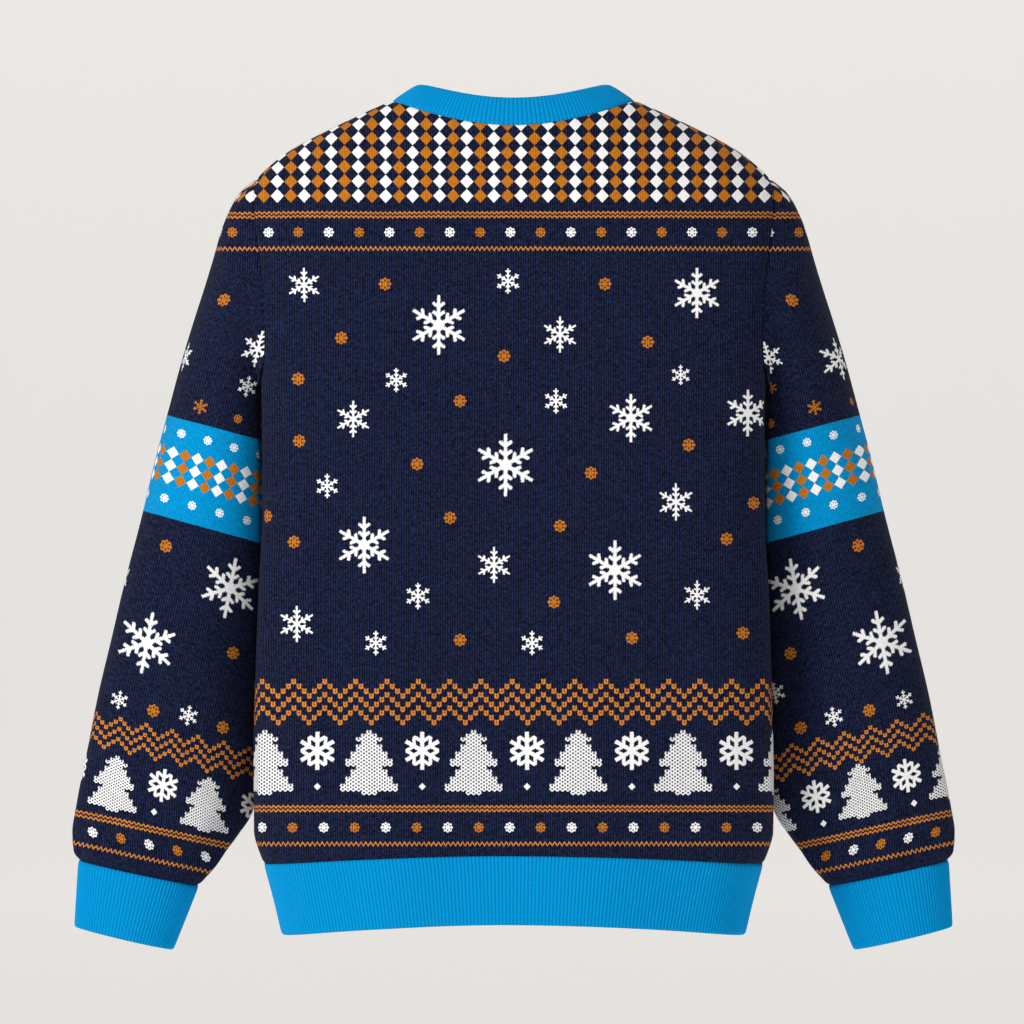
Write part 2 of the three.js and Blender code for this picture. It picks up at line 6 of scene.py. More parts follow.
import bpy
import numpy as np
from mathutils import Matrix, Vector


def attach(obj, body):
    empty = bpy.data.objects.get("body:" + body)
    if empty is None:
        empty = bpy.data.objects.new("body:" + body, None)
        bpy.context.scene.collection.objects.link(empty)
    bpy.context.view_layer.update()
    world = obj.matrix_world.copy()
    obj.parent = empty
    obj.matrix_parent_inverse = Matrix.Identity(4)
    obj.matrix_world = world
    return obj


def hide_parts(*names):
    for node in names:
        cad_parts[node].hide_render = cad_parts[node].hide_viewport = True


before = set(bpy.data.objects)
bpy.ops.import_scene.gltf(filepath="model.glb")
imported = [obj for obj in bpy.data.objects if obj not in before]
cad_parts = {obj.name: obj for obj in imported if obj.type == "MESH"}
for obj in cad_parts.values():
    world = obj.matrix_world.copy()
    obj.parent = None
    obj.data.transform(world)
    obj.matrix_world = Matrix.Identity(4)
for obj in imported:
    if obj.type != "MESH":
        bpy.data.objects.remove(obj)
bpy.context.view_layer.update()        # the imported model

MM = 0.001  # the tables and the shaders' coordinates are in millimetres

# Sizes of the pieces, as in the CAD, but with closer seams and finer ribs
WALL = 2.4
SEAM_GAP = 0.14
RIB_BASE = 2.0
RIB_HEIGHT = 0.8
RIB_THICKNESS = RIB_BASE + RIB_HEIGHT
RIB_PITCH = {"hem": 3.25, "cuff": 2.8, "neck": 3.7}
SLEEVE_CLEARANCE = 3.5  # the least room between a sleeve and the body, under the arm
CLEARANCE_TOP = 40
NECK_POINT_X = 103
BACK_NECK_DROP = 24
FRONT_NECK_DROP = 86
NECKBAND_WIDTH = 27
NECKBAND_LEAN = {"middle": 0.46, "side": 0.86}
NECKBAND_CURL = 0.1
SHOULDER_Z = -66
ARMPIT_Z = -236
ARMHOLE_CUT = {"back": 0.38, "front": 0.52}
SEAM_SIDE_Z = -647
SEAM_RISE = {"back": 10, "front": 7}
HEM_SIDE_Z = -707
HEM_RISE = {"back": 12, "front": 9}


def table(columns, rows):
    """A table's columns by name."""
    return dict(zip(columns.split(), np.array(rows, float).T))


# The body's level sections: how far the back and the front lie from the origin, where the side
# seam is, and how square each half is
BODY = table("z half_width back front seam_y back_square front_square", [
    (-710, 196, 94, 97, -10, 2.8, 2.6),
    (-680, 203, 97, 100, -10, 2.8, 2.6),
    (-650, 211, 101, 105, -12, 2.8, 2.6),
    (-618, 220, 107, 111, -14, 2.8, 2.5),
    (-560, 220, 106, 112, -20, 2.9, 2.4),
    (-450, 217, 104, 113, -28, 3, 2.3),
    (-330, 212, 108, 116, -34, 3, 2.2),
    (-236, 213, 112, 116, -32, 3, 2.2),
    (-170, 221, 110, 111, -24, 2.9, 2.2),
    (-110, 228, 104, 101, -15, 2.6, 2.1),
    (-80, 225, 98, 92, -10, 2.2, 1.9),
    (-66, 217, 95, 86, -8, 2.1, 1.8),
    (-55, 206, 91, 80, -7, 2.1, 1.8),
    (-42, 189, 86, 74, -5, 2.1, 1.8),
    (-20, 147, 75, 63, -3, 2.2, 2),
    (0, 103, 63, 52, -2, 2.3, 2.2),
    (2, 98, 61, 50, -2, 2.3, 2.2),
])

# The soft upright folds: where each crest is, how far it reaches and how far it stands out.
FOLDS = {
    "back": table("x reach rise", [(-99, 55, 5), (62, 95, 6.5), (176, 34, 3.5), (-178, 34, 3)]),
    "front": table("x reach rise", [(-120, 60, 4.5), (-10, 75, 4), (112, 58, 5)]),
}
FOLD_TOP_Z = -170
FOLD_FULL_Z = -560

# The right sleeve's rings from the armhole down to the cuff's seam
SLEEVE = table("outer_x outer_z inner_x inner_z mid_y half_depth", [
    (217, -66, 213, -236, -14, 58),
    (231, -77, 214, -243, -8, 61),
    (244, -100, 212, -249, 0, 64),
    (256, -134, 209, -256, 8, 67),
    (269.5, -174, 205, -266, 16, 69),
    (281.5, -216, 202, -282, 22, 70),
    (294, -260, 200, -304, 27, 69),
    (310, -320, 200, -348, 31, 67),
    (325.5, -383, 203, -408, 34, 64),
    (341.5, -447, 207, -472, 35, 61),
    (356, -509, 211, -532, 36, 58),
    (366, -561, 216, -578, 37, 54),
    (372.5, -597, 222, -605, 38, 50),
    (375.5, -622, 237, -628, 39, 44),
    (375.5, -637, 254, -651, 40, 37),
    (372.5, -647, 269, -669, 40, 32),
])
LAST_RING = 15
SLEEVE["ring"] = np.arange(LAST_RING + 1.0)
SLEEVE_CAP_RINGS = 5

# Its folds: where each one's middle is, how far it reaches along and round the sleeve, how it
# slants and how far it stands out
SLEEVE_FOLDS = table("ring angle rings turn slant rise", [
    (2.5, -2.2, 2.6, 0.32, 0.06, -3.4),
    (3.5, -1.4, 2.4, 0.34, 0.05, 2.2),
    (3, 2.1, 2.2, 0.35, 0.12, -3),
    (8.4, 2.3, 1.3, 0.6, 0.42, -3.4),
    (10.2, 1.7, 1.2, 0.6, 0.4, -2.8),
    (9.2, -2.3, 1.4, 0.45, -0.3, -2.6),
    (11.6, -1.5, 1, 0.6, -0.45, -2.2),
])
CUFF = table("outer_x outer_z inner_x inner_z mid_y half_depth", [
    (372.5, -647, 269, -669, 40, 32),
    (376, -704, 291, -724, 42, 26),
])
GATHERS = 9
GATHER_RISE = 1.6
GATHER_RINGS = 4

# How finely the cloth is divided
PANEL_COLUMNS = 150
PANEL_ROWS = 190
SLEEVE_COLUMNS = 112
SLEEVE_ROWS = 176
RIB_STEPS = 4  # columns for each rib
ARC_SAMPLES = 72
SEAM_ROLL = 1.1  # how far the cloth's edge turns in at a seam
SEAM_REACH = 3.2  # and from how far away it does so
WAVES = 7  # the slight waviness of soft cloth is a sum of this many waves
WAVE_HEIGHT = 0.22
FLAT_NEAR_SEAM = 30  # they grow over this distance from a seam
MOTIF_REACH = 1.6  # a face belongs to a motif up to this many of its half sizes away
ROW_REPEATS = 14  # a row of motifs goes on this many times to either side of its first one


# Curves and sections

def smooth(t):
    return t * t * (3 - 2 * t)


def fade(value, start, end):
    return smooth(np.clip((value - start) / (end - start), 0, 1))


def curve_at(key, column, at):
    """A smooth curve through a column that never swings past its own values."""
    step = np.diff(key)
    slope = np.diff(column) / step
    both = slope[:-1] * slope[1:]
    total = np.where(both > 0, slope[:-1] + slope[1:], 1)
    tangent = np.concatenate([slope[:1], np.where(both > 0, 2 * both / total, 0), slope[-1:]])
    i = np.clip(np.searchsorted(key, at) - 1, 0, len(step) - 1)
    t = np.clip((at - key[i]) / step[i], 0, 1)
    return (
        (1 + 2 * t) * (1 - t) ** 2 * column[i]
        + t * (1 - t) ** 2 * step[i] * tangent[i]
        + t * t * (3 - 2 * t) * column[i + 1]
        + t * t * (t - 1) * step[i] * tangent[i + 1]
    )


def body_at(column, z):
    return curve_at(BODY["z"], BODY[column], z)


def armhole_angle(side, z):
    middle = (SHOULDER_Z + ARMPIT_Z) / 2
    along = np.clip((z - middle) / (SHOULDER_Z - middle), -1, 1)
    return ARMHOLE_CUT[side] * np.sqrt(1 - along**2)


def section_point(side, z, angle):
    """A point of the body's horizontal section at an angle from its side seam."""
    square = body_at(side + "_square", z)
    seam_y = body_at("seam_y", z)
    depth = body_at(side, z) + (seam_y if side == "back" else -seam_y)
    cos, sin = np.cos(angle), np.abs(np.sin(angle))
    x = body_at("half_width", z) * np.sign(cos) * np.abs(cos) ** (2 / square)
    y = seam_y + (-1 if side == "back" else 1) * depth * sin ** (2 / square)
    return x, y


def fold_rise(side, x, z):
    folds = FOLDS[side]
    t = (x[..., None] - folds["x"]) / folds["reach"]
    return fade(-z, -FOLD_TOP_Z, -FOLD_FULL_Z) * (folds["rise"] * np.exp(-2 * t * t)).sum(-1)


def body_point(side, z, share):
    """A point at a share of the way from the wearer's left seam (-1) to the right one (1), measured
    along the cloth."""
    z, share = np.broadcast_arrays(np.asarray(z, float), np.asarray(share, float))
    start = armhole_angle(side, z)[..., None]
    t = smooth(np.linspace(0, 1, ARC_SAMPLES + 1))
    x, y = section_point(side, z[..., None], math.pi - start - t * (math.pi - 2 * start))
    steps = np.hypot(np.diff(x), np.diff(y))
    lengths = np.concatenate([np.zeros(z.shape + (1,)), np.cumsum(steps, -1)], -1)
    whole = lengths[..., -1]
    ends = [section_point(side, z, part * start[..., 0]) for part in (0, 0.5, 1)]
    cut_length = sum(np.hypot(a[0] - b[0], a[1] - b[1]) for a, b in zip(ends, ends[1:]))
    cut = cut_length / (whole / 2)
    moved = share - cut * share * (np.abs(share) ** 1.5 - 1)
    target = np.clip((moved + 1) / 2 * whole, SEAM_GAP / 2, whole - SEAM_GAP / 2)
    i = np.clip((lengths < target[..., None]).sum(-1), 1, ARC_SAMPLES)[..., None]
    before, after = (np.take_along_axis(lengths, k, -1)[..., 0] for k in (i - 1, i))
    t = (target - before) / (after - before)
    x0, x1, y0, y1 = (np.take_along_axis(a, k, -1)[..., 0] for a in (x, y) for k in (i - 1, i))
    px = x0 + t * (x1 - x0)
    py = y0 + t * (y1 - y0)
    away = -1 if side == "back" else 1
    py = py + away * (1 - np.abs(share) ** 6) * fold_rise(side, px, z)
    return np.stack([px, py, z], -1)


def neck_seam_z(side, x, gap):
    t = np.clip(np.abs(x) / (NECK_POINT_X + gap), 0, 1)
    if side == "back":
        return -gap - BACK_NECK_DROP * (1 - t * t)
    return -gap - FRONT_NECK_DROP * (1 - t**2.4) ** (1 / 1.7)


def column_top(side, share, gap=0):
    """The height at which a column of the body's cloth meets the neckband."""
    low = np.full(np.shape(share), -FRONT_NECK_DROP - 40.0)
    high = np.zeros(np.shape(share))
    for _ in range(30):
        z = (low + high) / 2
        above = z > neck_seam_z(side, body_point(side, z, share)[..., 0], gap)
        high = np.where(above, z, high)
        low = np.where(above, low, z)
    return (low + high) / 2


def column_end(side, share, side_z, rise):
    """The height of a column's end at the hem band's seam or at the hem."""
    x = body_point(side, side_z, share)[..., 0]
    return side_z + rise[side] * (1 - (x / body_at("half_width", float(side_z))) ** 2)


# Surfaces

def unit(v):
    return v / np.maximum(np.linalg.norm(v, axis=-1, keepdims=True), 1e-9)


def grid_normals(grid, closed):
    """Normals from a grid's own faces. A closed grid's last column is its first one again."""
    if closed:
        wide = np.concatenate([grid[:, -2:-1], grid, grid[:, 1:2]], 1)
        across = wide[:, 2:] - wide[:, :-2]
    else:
        across = np.gradient(grid, axis=1)
    return unit(np.cross(across, np.gradient(grid, axis=0)))


def edge_steps(count, first=0.35, ratio=1.55):
    """Steps that are fine at both ends, so that a cloth's edge can turn in, as shares from 0 to 1."""
    fine = np.cumsum(first * ratio ** np.arange(5)) / count
    middle = np.linspace(fine[-1], 1 - fine[-1], count - 9)
    return np.concatenate([[0], fine[:-1], middle, 1 - fine[-2::-1], [1]])


def roll(distance):
    """How far the cloth turns in at this distance from a seam."""
    return SEAM_ROLL * np.exp(-((distance / SEAM_REACH) ** 2) * 2)


def wall_at(edge):
    """The cloth's thickness at this distance from a seam. It is thinner where it turns in."""
    return (WALL - 1.2 * roll(edge))[..., None]


def unevenness(u, v, seed):
    """The slight waviness of soft cloth."""
    rng = np.random.default_rng(seed)
    total = np.zeros_like(u)
    for _ in range(WAVES):
        reach = rng.uniform(70, 190)
        turn, phase = rng.uniform(0, 2 * math.pi, 2)
        along = u * math.cos(turn) * 1.7 + v * math.sin(turn)
        total += np.sin(along * 2 * math.pi / reach + phase)
    return WAVE_HEIGHT * total


def along_length(grid, axis):
    """Distance along a grid's rows or columns, from the first point."""
    steps = np.linalg.norm(np.diff(grid, axis=axis), axis=-1)
    zero = np.zeros_like(np.take(steps, [0], axis))
    return np.concatenate([zero, np.cumsum(steps, axis)], axis)


def grid_area(grid):
    """A grid's area in square metres."""
    a, b = grid[1:, 1:] - grid[:-1, :-1], grid[1:, :-1] - grid[:-1, 1:]
    return np.linalg.norm(np.cross(a, b), axis=-1).sum() / 2 * MM**2


def make_cloth(name, outer, inner, coords, closed, motifs=()):
    """A closed wall between two grids, with the shader's coordinates at its face corners. A closed
    grid's last column is its first one again."""
    rows, columns = outer.shape[:2]
    kept = columns - 1 if closed else columns
    number = np.arange(rows)[:, None] * kept + np.arange(columns) % kept
    points = np.concatenate([outer[:, :kept].reshape(-1, 3), inner[:, :kept].reshape(-1, 3)])
    number = np.stack([number, number + rows * kept])  # by face of the wall: outer, inner

    def quads(corners):
        """Faces from four (layer, row, column) corners, each an array over the faces."""
        parts = np.broadcast_arrays(*[part for corner in corners for part in corner])
        return [np.stack(parts[k::3], -1).reshape(-1, 4) for k in range(3)]

    i, j = np.meshgrid(np.arange(rows - 1), np.arange(columns - 1), indexing="ij")
    strip = np.arange(columns - 1)
    ladder = np.arange(rows - 1)
    last_row, last_column = rows - 1, columns - 1
    sets = [
        quads([(0, i, j), (0, i, j + 1), (0, i + 1, j + 1), (0, i + 1, j)]),
        quads([(1, i, j + 1), (1, i, j), (1, i + 1, j), (1, i + 1, j + 1)]),
        quads([(0, 0, strip + 1), (0, 0, strip), (1, 0, strip), (1, 0, strip + 1)]),
        quads([(0, last_row, strip), (0, last_row, strip + 1), (1, last_row, strip + 1),
               (1, last_row, strip)]),
    ]
    if not closed:
        sets.append(quads([(0, ladder, 0), (0, ladder + 1, 0), (1, ladder + 1, 0), (1, ladder, 0)]))
        sets.append(quads([(0, ladder + 1, last_column), (0, ladder, last_column),
                           (1, ladder, last_column), (1, ladder + 1, last_column)]))
    layer, i, j = (np.concatenate(parts) for parts in zip(*sets))
    faces = number[layer, i, j]
    a, b, c, d = (points[faces[:, k]] for k in range(4))
    if (np.cross(c - a, d - b) * (a + c)).sum() < 0:  # the faces point inwards: turn them round
        layer, i, j, faces = (x[:, ::-1] for x in (layer, i, j, faces))

    mesh = bpy.data.meshes.new(name)
    mesh.from_pydata((points * MM).tolist(), [], faces.tolist())
    mesh.shade_smooth()
    cloth = np.concatenate([coords[i, j], layer[..., None]], -1)
    add_attribute(mesh, "cloth", cloth)
    if len(motifs):
        add_attribute(mesh, "motif", motif_corners(cloth, motifs))
    piece = bpy.data.objects.new(name, mesh)
    bpy.context.scene.collection.objects.link(piece)
    return piece


def add_attribute(mesh, name, corners):
    """A vector at each face corner."""
    attribute = mesh.attributes.new(name, "FLOAT_VECTOR", "CORNER")
    attribute.data.foreach_set("vector", corners.astype(np.float32).ravel())


def motif_corners(cloth, motifs):
    """Each face's place within the motif that is nearest to it, by the motif's own half sizes, and
    that motif's shape."""
    u, v, half_u, half_v, shape = (np.array(column) for column in zip(*motifs))
    middle = cloth[..., :2].mean(1)
    nearness = np.full((len(middle), len(u)), 9.0)
    for k in range(len(u)):
        nearness[:, k] = np.maximum(
            np.abs(middle[:, 0] - u[k]) / half_u[k], np.abs(middle[:, 1] - v[k]) / half_v[k]
        )
    nearest = nearness.argmin(1)
    found = (nearness.min(1) < MOTIF_REACH) & (cloth[:, 0, 2] == 0)
    x = (cloth[..., 0] - u[nearest][:, None]) / half_u[nearest][:, None]
    y = (v[nearest][:, None] - cloth[..., 1]) / half_v[nearest][:, None]
    kind = np.where(found, shape[nearest], 0)[:, None] + 0 * x
    return np.stack([x, y, kind], -1)


def armhole_normal(points, own):
    middle = np.array([0, SLEEVE["mid_y"][0], (SHOULDER_Z + ARMPIT_Z) / 2])
    radial = points - middle
    radial[..., 0] = 0
    low = np.clip((SHOULDER_Z - points[..., 2]) / (SHOULDER_Z - ARMPIT_Z), 0, 1)
    return unit(unit(radial) + low[..., None] * own)


# The knitted pattern: shapes and bands, placed in millimetres across the cloth (u) and down it (v)

PHOTO_SCALE = 0.85  # millimetres for each pixel of the photograph, at the sweater's middle
PHOTO_HALF = 512  # half the photograph's width and height, in its pixels
CAMERA_DISTANCE = 6000
FRAME_MIDDLE_X = -1.3
FRAME_MIDDLE_Z = -349.4
BACK_DEPTH = 98  # how much nearer to the camera the sweater's back is than its middle


def from_photo(x, y):
    """Where a pixel of the photograph lies across and down the sweater's back."""
    scale = PHOTO_SCALE * (1 - BACK_DEPTH / CAMERA_DISTANCE)
    return (x - PHOTO_HALF) * scale + FRAME_MIDDLE_X, (y - PHOTO_HALF) * scale - FRAME_MIDDLE_Z


FLAKE, MIDDLE_FLAKE, SMALL_FLAKE, ICON, DOT, TREE, DIAMOND = 1, 2, 3, 4, 5, 6, 7
ORANGE = 0.5  # added to a shape's number, it makes the shape orange
BIG_FLAKE, MIDDLING_FLAKE = 22, 13  # the least half widths, in pixels, of the two larger kinds

# Where the back's snowflakes and orange dots are scattered, as pixels of the photograph
BACK_FLAKES = [
    (304, 285, 17), (438.7, 325, 29.5), (508, 281, 12.5), (560, 334.5, 18), (697, 293, 25),
    (396, 380, 12), (353, 419, 18), (556, 401, 12.5), (631, 418, 24), (681, 375, 10),
    (748, 413, 23), (505.5, 465, 31), (327, 486, 12), (676, 502, 18.5), (364, 545, 28),
    (494, 565, 18), (615, 570, 29.5), (418, 596, 13), (697, 595, 14.5), (297, 624, 18),
    (376, 643, 12), (532, 643, 12),
]
BACK_DOTS = [
    (385, 284), (605, 284), (341, 338), (648, 342), (504, 356), (298, 379), (460, 401),
    (299, 441), (689, 445), (417, 464), (591, 473), (450, 518), (560, 526), (727, 539),
    (294, 542), (554, 602), (460, 640), (632, 638), (743, 633), (754, 503), (265, 516),
]
SLEEVE_FLAKES = {
    "left": [
        (258, 349, 17), (247.5, 386.5, 10), (186.5, 357, 15), (230, 588, 30), (147, 643, 30),
        (119.5, 700, 9), (188.4, 715.5, 10), (126, 577, 16),
    ],
    "right": [
        (768.6, 357.7, 15), (838, 359, 22), (796, 589, 30.5), (882, 642.4, 31), (904, 699.6, 9),
        (833.5, 717, 10), (775, 693, 11), (900, 575, 16),
    ],
}
SLEEVE_DOTS = {
    "left": [(224, 300), (165.5, 546), (233, 653), (153.3, 710.7), (223, 727.5), (264, 516)],
    "right": [(791.8, 300.2), (858.6, 545.6), (790.6, 653.4), (869.2, 710.4), (800.5, 728), (763, 516)],
}
SLEEVE_ORANGE = {
    "left": [(200.3, 406.7, 7.7, SMALL_FLAKE), (237.9, 418.9, 4.4, DOT), (260.6, 424.2, 4.6, DOT)],
    "right": [
        (814.7, 407.5, 7.7, SMALL_FLAKE), (770.2, 423.4, 4.6, DOT), (851, 401.7, 4.4, DOT),
        (771.8, 388, 5.5, SMALL_FLAKE),
    ],
}
SCATTERED_DOT = 6.4  # half a scattered dot's width, in pixels

# Rows of motifs right round: one of them in the photograph, the step to the next and the half
# sizes in millimetres, its shape and the next one's
BODY_ROWS = [
    (473.6, 763.2, 87.5, 25.8, 26.9, TREE, TREE),
    (527.0, 750.8, 87.6, 15.9, 15.9, ICON, ICON),
    (527.0, 786.6, 87.6, 2.9, 3.0, DIAMOND, DIAMOND),
    (510.4, 232.3, 25.3, 4.4, 4.4, DOT, DOT + ORANGE),
    (509.7, 827.4, 25.9, 4.4, 4.4, DOT, DOT + ORANGE),
]
SLEEVE_ROWS_OF = {
    "left": [
        (113.5, 784, 79, 22.2, 22.5, TREE, TREE),
        (162.9, 785.4, 79, 13.6, 13.6, ICON, ICON),
        (154, 812, 79, 2.8, 2.9, DIAMOND, DIAMOND),
        (232.5, 232.3, 25, 4.4, 4.4, DOT + ORANGE, DOT),
        (149.1, 844.5, 24.2, 4.3, 4.3, DOT, DOT + ORANGE),
        (207.7, 440.6, 22.8, 3.8, 3.8, DOT, DOT),
        (192.1, 505.5, 23.8, 3.8, 3.8, DOT, DOT),
    ],
    "right": [
        (861.5, 791.2, 78, 22.4, 22.1, TREE, TREE),
        (816.1, 796.5, 78, 13.6, 13.6, ICON, ICON),
        (823.6, 823.5, 78, 2.8, 2.9, DIAMOND, DIAMOND),
        (799, 232.3, 25, 4.4, 4.4, DOT + ORANGE, DOT),
        (880.9, 843.9, 23.5, 4.3, 4.3, DOT + ORANGE, DOT),
        (807, 442.3, 23.2, 3.8, 3.8, DOT, DOT),
        (833.6, 504.7, 24.2, 3.8, 3.8, DOT, DOT),
    ],
}

# The bands that are drawn right round, by how far down the cloth they are
BODY_BANDS = {
    "yoke_row": 85.0, "chains": (100.8, 597.4), "zigzags": (129.1, 626.9),
    "steps_top": 489.0, "step_u": 4.36, "step_v": 4.0, "steps_apart": 11.1, "steps_shift": 3.3,
}
SLEEVE_BANDS = {
    "yoke_row": 85.0, "chains": (101.3, 612.5), "zigzags": (129.4, 637.0),
    "steps_top": 528.2, "step_v": 2.97, "steps_apart": 8.24,
    "armband": (277.7, 360.4), "diamonds_top": 23.6, "diamond_u": 10.55, "diamond_v": 10.75,
}
SIDE_BANDS = {
    "left": {"step_u": 3.68, "steps_shift": 4.6, "diamond_shift": -1.7},
    "right": {"step_u": 3.75, "steps_shift": 7.9, "diamond_shift": 5.8},
}
YOKE_U, YOKE_V = 11.325, 11.99  # one diamond of the yoke
YOKE_WHITE_U = 6.2  # the middle of a white column


def flake_kind(radius):
    if radius > BIG_FLAKE:
        return FLAKE
    return MIDDLE_FLAKE if radius > MIDDLING_FLAKE else SMALL_FLAKE


def pattern_motifs(place, rows, flakes, dots, others=()):
    """Motifs as their places across and down the cloth, their half sizes and their shapes."""
    made = []
    for x, y, step, half_u, half_v, shape, next_shape in rows:
        u, v = place(x, y)
        for k in range(-ROW_REPEATS, ROW_REPEATS + 1):
            made.append((u + k * step, v, half_u, half_v, next_shape if k % 2 else shape))
    scattered = [(x, y, radius, flake_kind(radius)) for x, y, radius in flakes]
    scattered += [(x, y, SCATTERED_DOT, DOT + ORANGE) for x, y in dots]
    scattered += [(x, y, radius, shape + ORANGE) for x, y, radius, shape in others]
    for x, y, radius, shape in scattered:
        made.append((*place(x, y), radius * PHOTO_SCALE, radius * PHOTO_SCALE, shape))
    return made


def body_motifs(side):
    """The back's motifs as photographed. The front's scattered ones are turned round and lower."""
    made = pattern_motifs(from_photo, BODY_ROWS, [], [])
    turn, drop = (1, 0) if side == "back" else (-1, 7)
    for u, v, *rest in pattern_motifs(from_photo, [], BACK_FLAKES, BACK_DOTS):
        made.append((turn * u, v + drop, *rest))
    return made


def as_seen(points, seam_y):
    """Points as far across and down as the camera sees them against the sweater's back. The front
    is treated as the back's mirror image in its side seams."""
    depth = np.where(points[..., 1] < seam_y, points[..., 1], 2 * seam_y - points[..., 1])
    scale = (CAMERA_DISTANCE - BACK_DEPTH) / (CAMERA_DISTANCE + depth)
    x = points[..., 0] * scale
    z = FRAME_MIDDLE_Z + (points[..., 2] - FRAME_MIDDLE_Z) * scale
    return np.stack([x, points[..., 1], z], -1)


TURNS_AWAY = (48, 84)  # the turn over which the pattern goes by the cloth's length, degrees


def pattern_widths(steps):
    """How far the pattern runs over each step of a surface. It keeps its width as seen from behind,
    until the surface turns to the side."""
    length = np.maximum(np.linalg.norm(steps, axis=-1), 1e-9)
    facing = np.hypot(steps[..., 0], steps[..., 2]) / length
    turned = fade(np.degrees(np.arccos(np.clip(facing, 0, 1))), *TURNS_AWAY)
    return length * np.maximum(facing, turned)


def over_the_top(steps, normals):
    """How much further the pattern runs than is seen, across and up, over each step that climbs onto
    a part of the cloth that faces up. It runs square across the line that the cloth turns over."""
    turning = unit(normals[..., ::2])
    climbed = abs((steps[..., ::2] * turning).sum(-1))
    length = np.maximum(np.hypot(climbed, steps[..., 1]), 1e-9)
    turned = fade(np.degrees(np.arccos(climbed / length)), *TURNS_AWAY)
    extra = np.maximum(length * turned - climbed, 0) * fade(normals[..., 2], 0.45, 0.75)
    return extra[..., None] * turning


# The front and the back

def panel(side):
    shares = 2 * edge_steps(PANEL_COLUMNS) - 1
    heights = edge_steps(PANEL_ROWS)
    top = column_top(side, shares, SEAM_GAP)
    end = column_end(side, shares, SEAM_SIDE_Z, SEAM_RISE) + SEAM_GAP / 2
    z = end + heights[:, None] * (top - end)
    outer = body_point(side, z, shares[None, :])
    normals = grid_normals(outer, False) * (1 if side == "back" else -1)
    seen = as_seen(outer, body_at("seam_y", z))
    widths = pattern_widths(np.diff(seen, axis=1))
    u = np.concatenate([np.zeros((len(outer), 1)), np.cumsum(widths, 1)], 1)
    middle = outer.shape[1] // 2
    u = u - u[:, middle:middle + 1] + seen[:, middle:middle + 1, 0]
    low = fade(-z, 120, 260)
    coords = np.stack([low * u + (1 - low) * seen[..., 0], -seen[..., 2]], -1)
    coords[1:] += np.cumsum(over_the_top(np.diff(seen, axis=0), normals[1:]), 0) * (1, -1)

    across = along_length(outer, 1)
    down = along_length(outer, 0)
    edge = np.minimum.reduce([across, across[:, -1:] - across, down, down[-1:] - down])
    lift = unevenness(coords[..., 0], coords[..., 1], 3 if side == "back" else 4)
    lift *= np.minimum(edge / FLAT_NEAR_SEAM, 1)
    outer = outer + normals * (lift - roll(edge))[..., None]

    inward = normals.copy()
    for j in (0, -1):
        opened = armhole_angle(side, z[:, j]) > 0
        inward[:, j, 1] = 0
        inward[:, j] = unit(inward[:, j])
        arm = armhole_normal(outer[:, j], normals[:, j])
        inward[opened, j] = arm[opened]
    inward[0, :, 2] = 0
    inward[0] = unit(inward[0])
    inner = outer - inward * wall_at(edge)
    piece = make_cloth(f"{side}_cloth", outer, inner, coords, False, body_motifs(side))
    return piece, outer, f"{side}_panel"


# The sleeves

def ring_point(ring, angle):
    """A point of a ring of the sleeve or the cuff, from a row of its table."""
    cos, sin = np.cos(angle), np.sin(angle)
    x = (ring["outer_x"] + ring["inner_x"]) / 2 + (ring["outer_x"] - ring["inner_x"]) / 2 * cos
    z = (ring["outer_z"] + ring["inner_z"]) / 2 + (ring["outer_z"] - ring["inner_z"]) / 2 * cos
    return np.stack(np.broadcast_arrays(x, ring["mid_y"] + ring["half_depth"] * sin, z), -1)


def armhole_point(angle):
    z = (SHOULDER_Z + ARMPIT_Z) / 2 + (SHOULDER_Z - ARMPIT_Z) / 2 * np.cos(angle)
    back = section_point("back", z, armhole_angle("back", z))
    front = section_point("front", z, armhole_angle("front", z))
    forward = np.sin(angle) > 0
    return np.stack([np.where(forward, f, b) for f, b in zip(front, back)] + [z], -1)


def clear_of_body(points, room):
    x, y, z = np.moveaxis(points, -1, 0)
    seam_y = body_at("seam_y", z)
    least = np.full(x.shape, -1e9)
    for side in ("back", "front"):
        own = (y < seam_y) == (side == "back")
        square = body_at(side + "_square", z)
        depth = body_at(side, z) + (seam_y if side == "back" else -seam_y)
        depth = depth + room + fold_rise(side, x, z)
        share = np.abs(y - seam_y) / depth
        edge = (body_at("half_width", z) + room) * np.clip(1 - share**square, 0, 1) ** (1 / square)
        least = np.where(own & (share < 1), edge, least)
    near = z <= ARMPIT_Z + CLEARANCE_TOP
    return np.stack([np.where(near, np.maximum(x, least), x), y, z], -1)


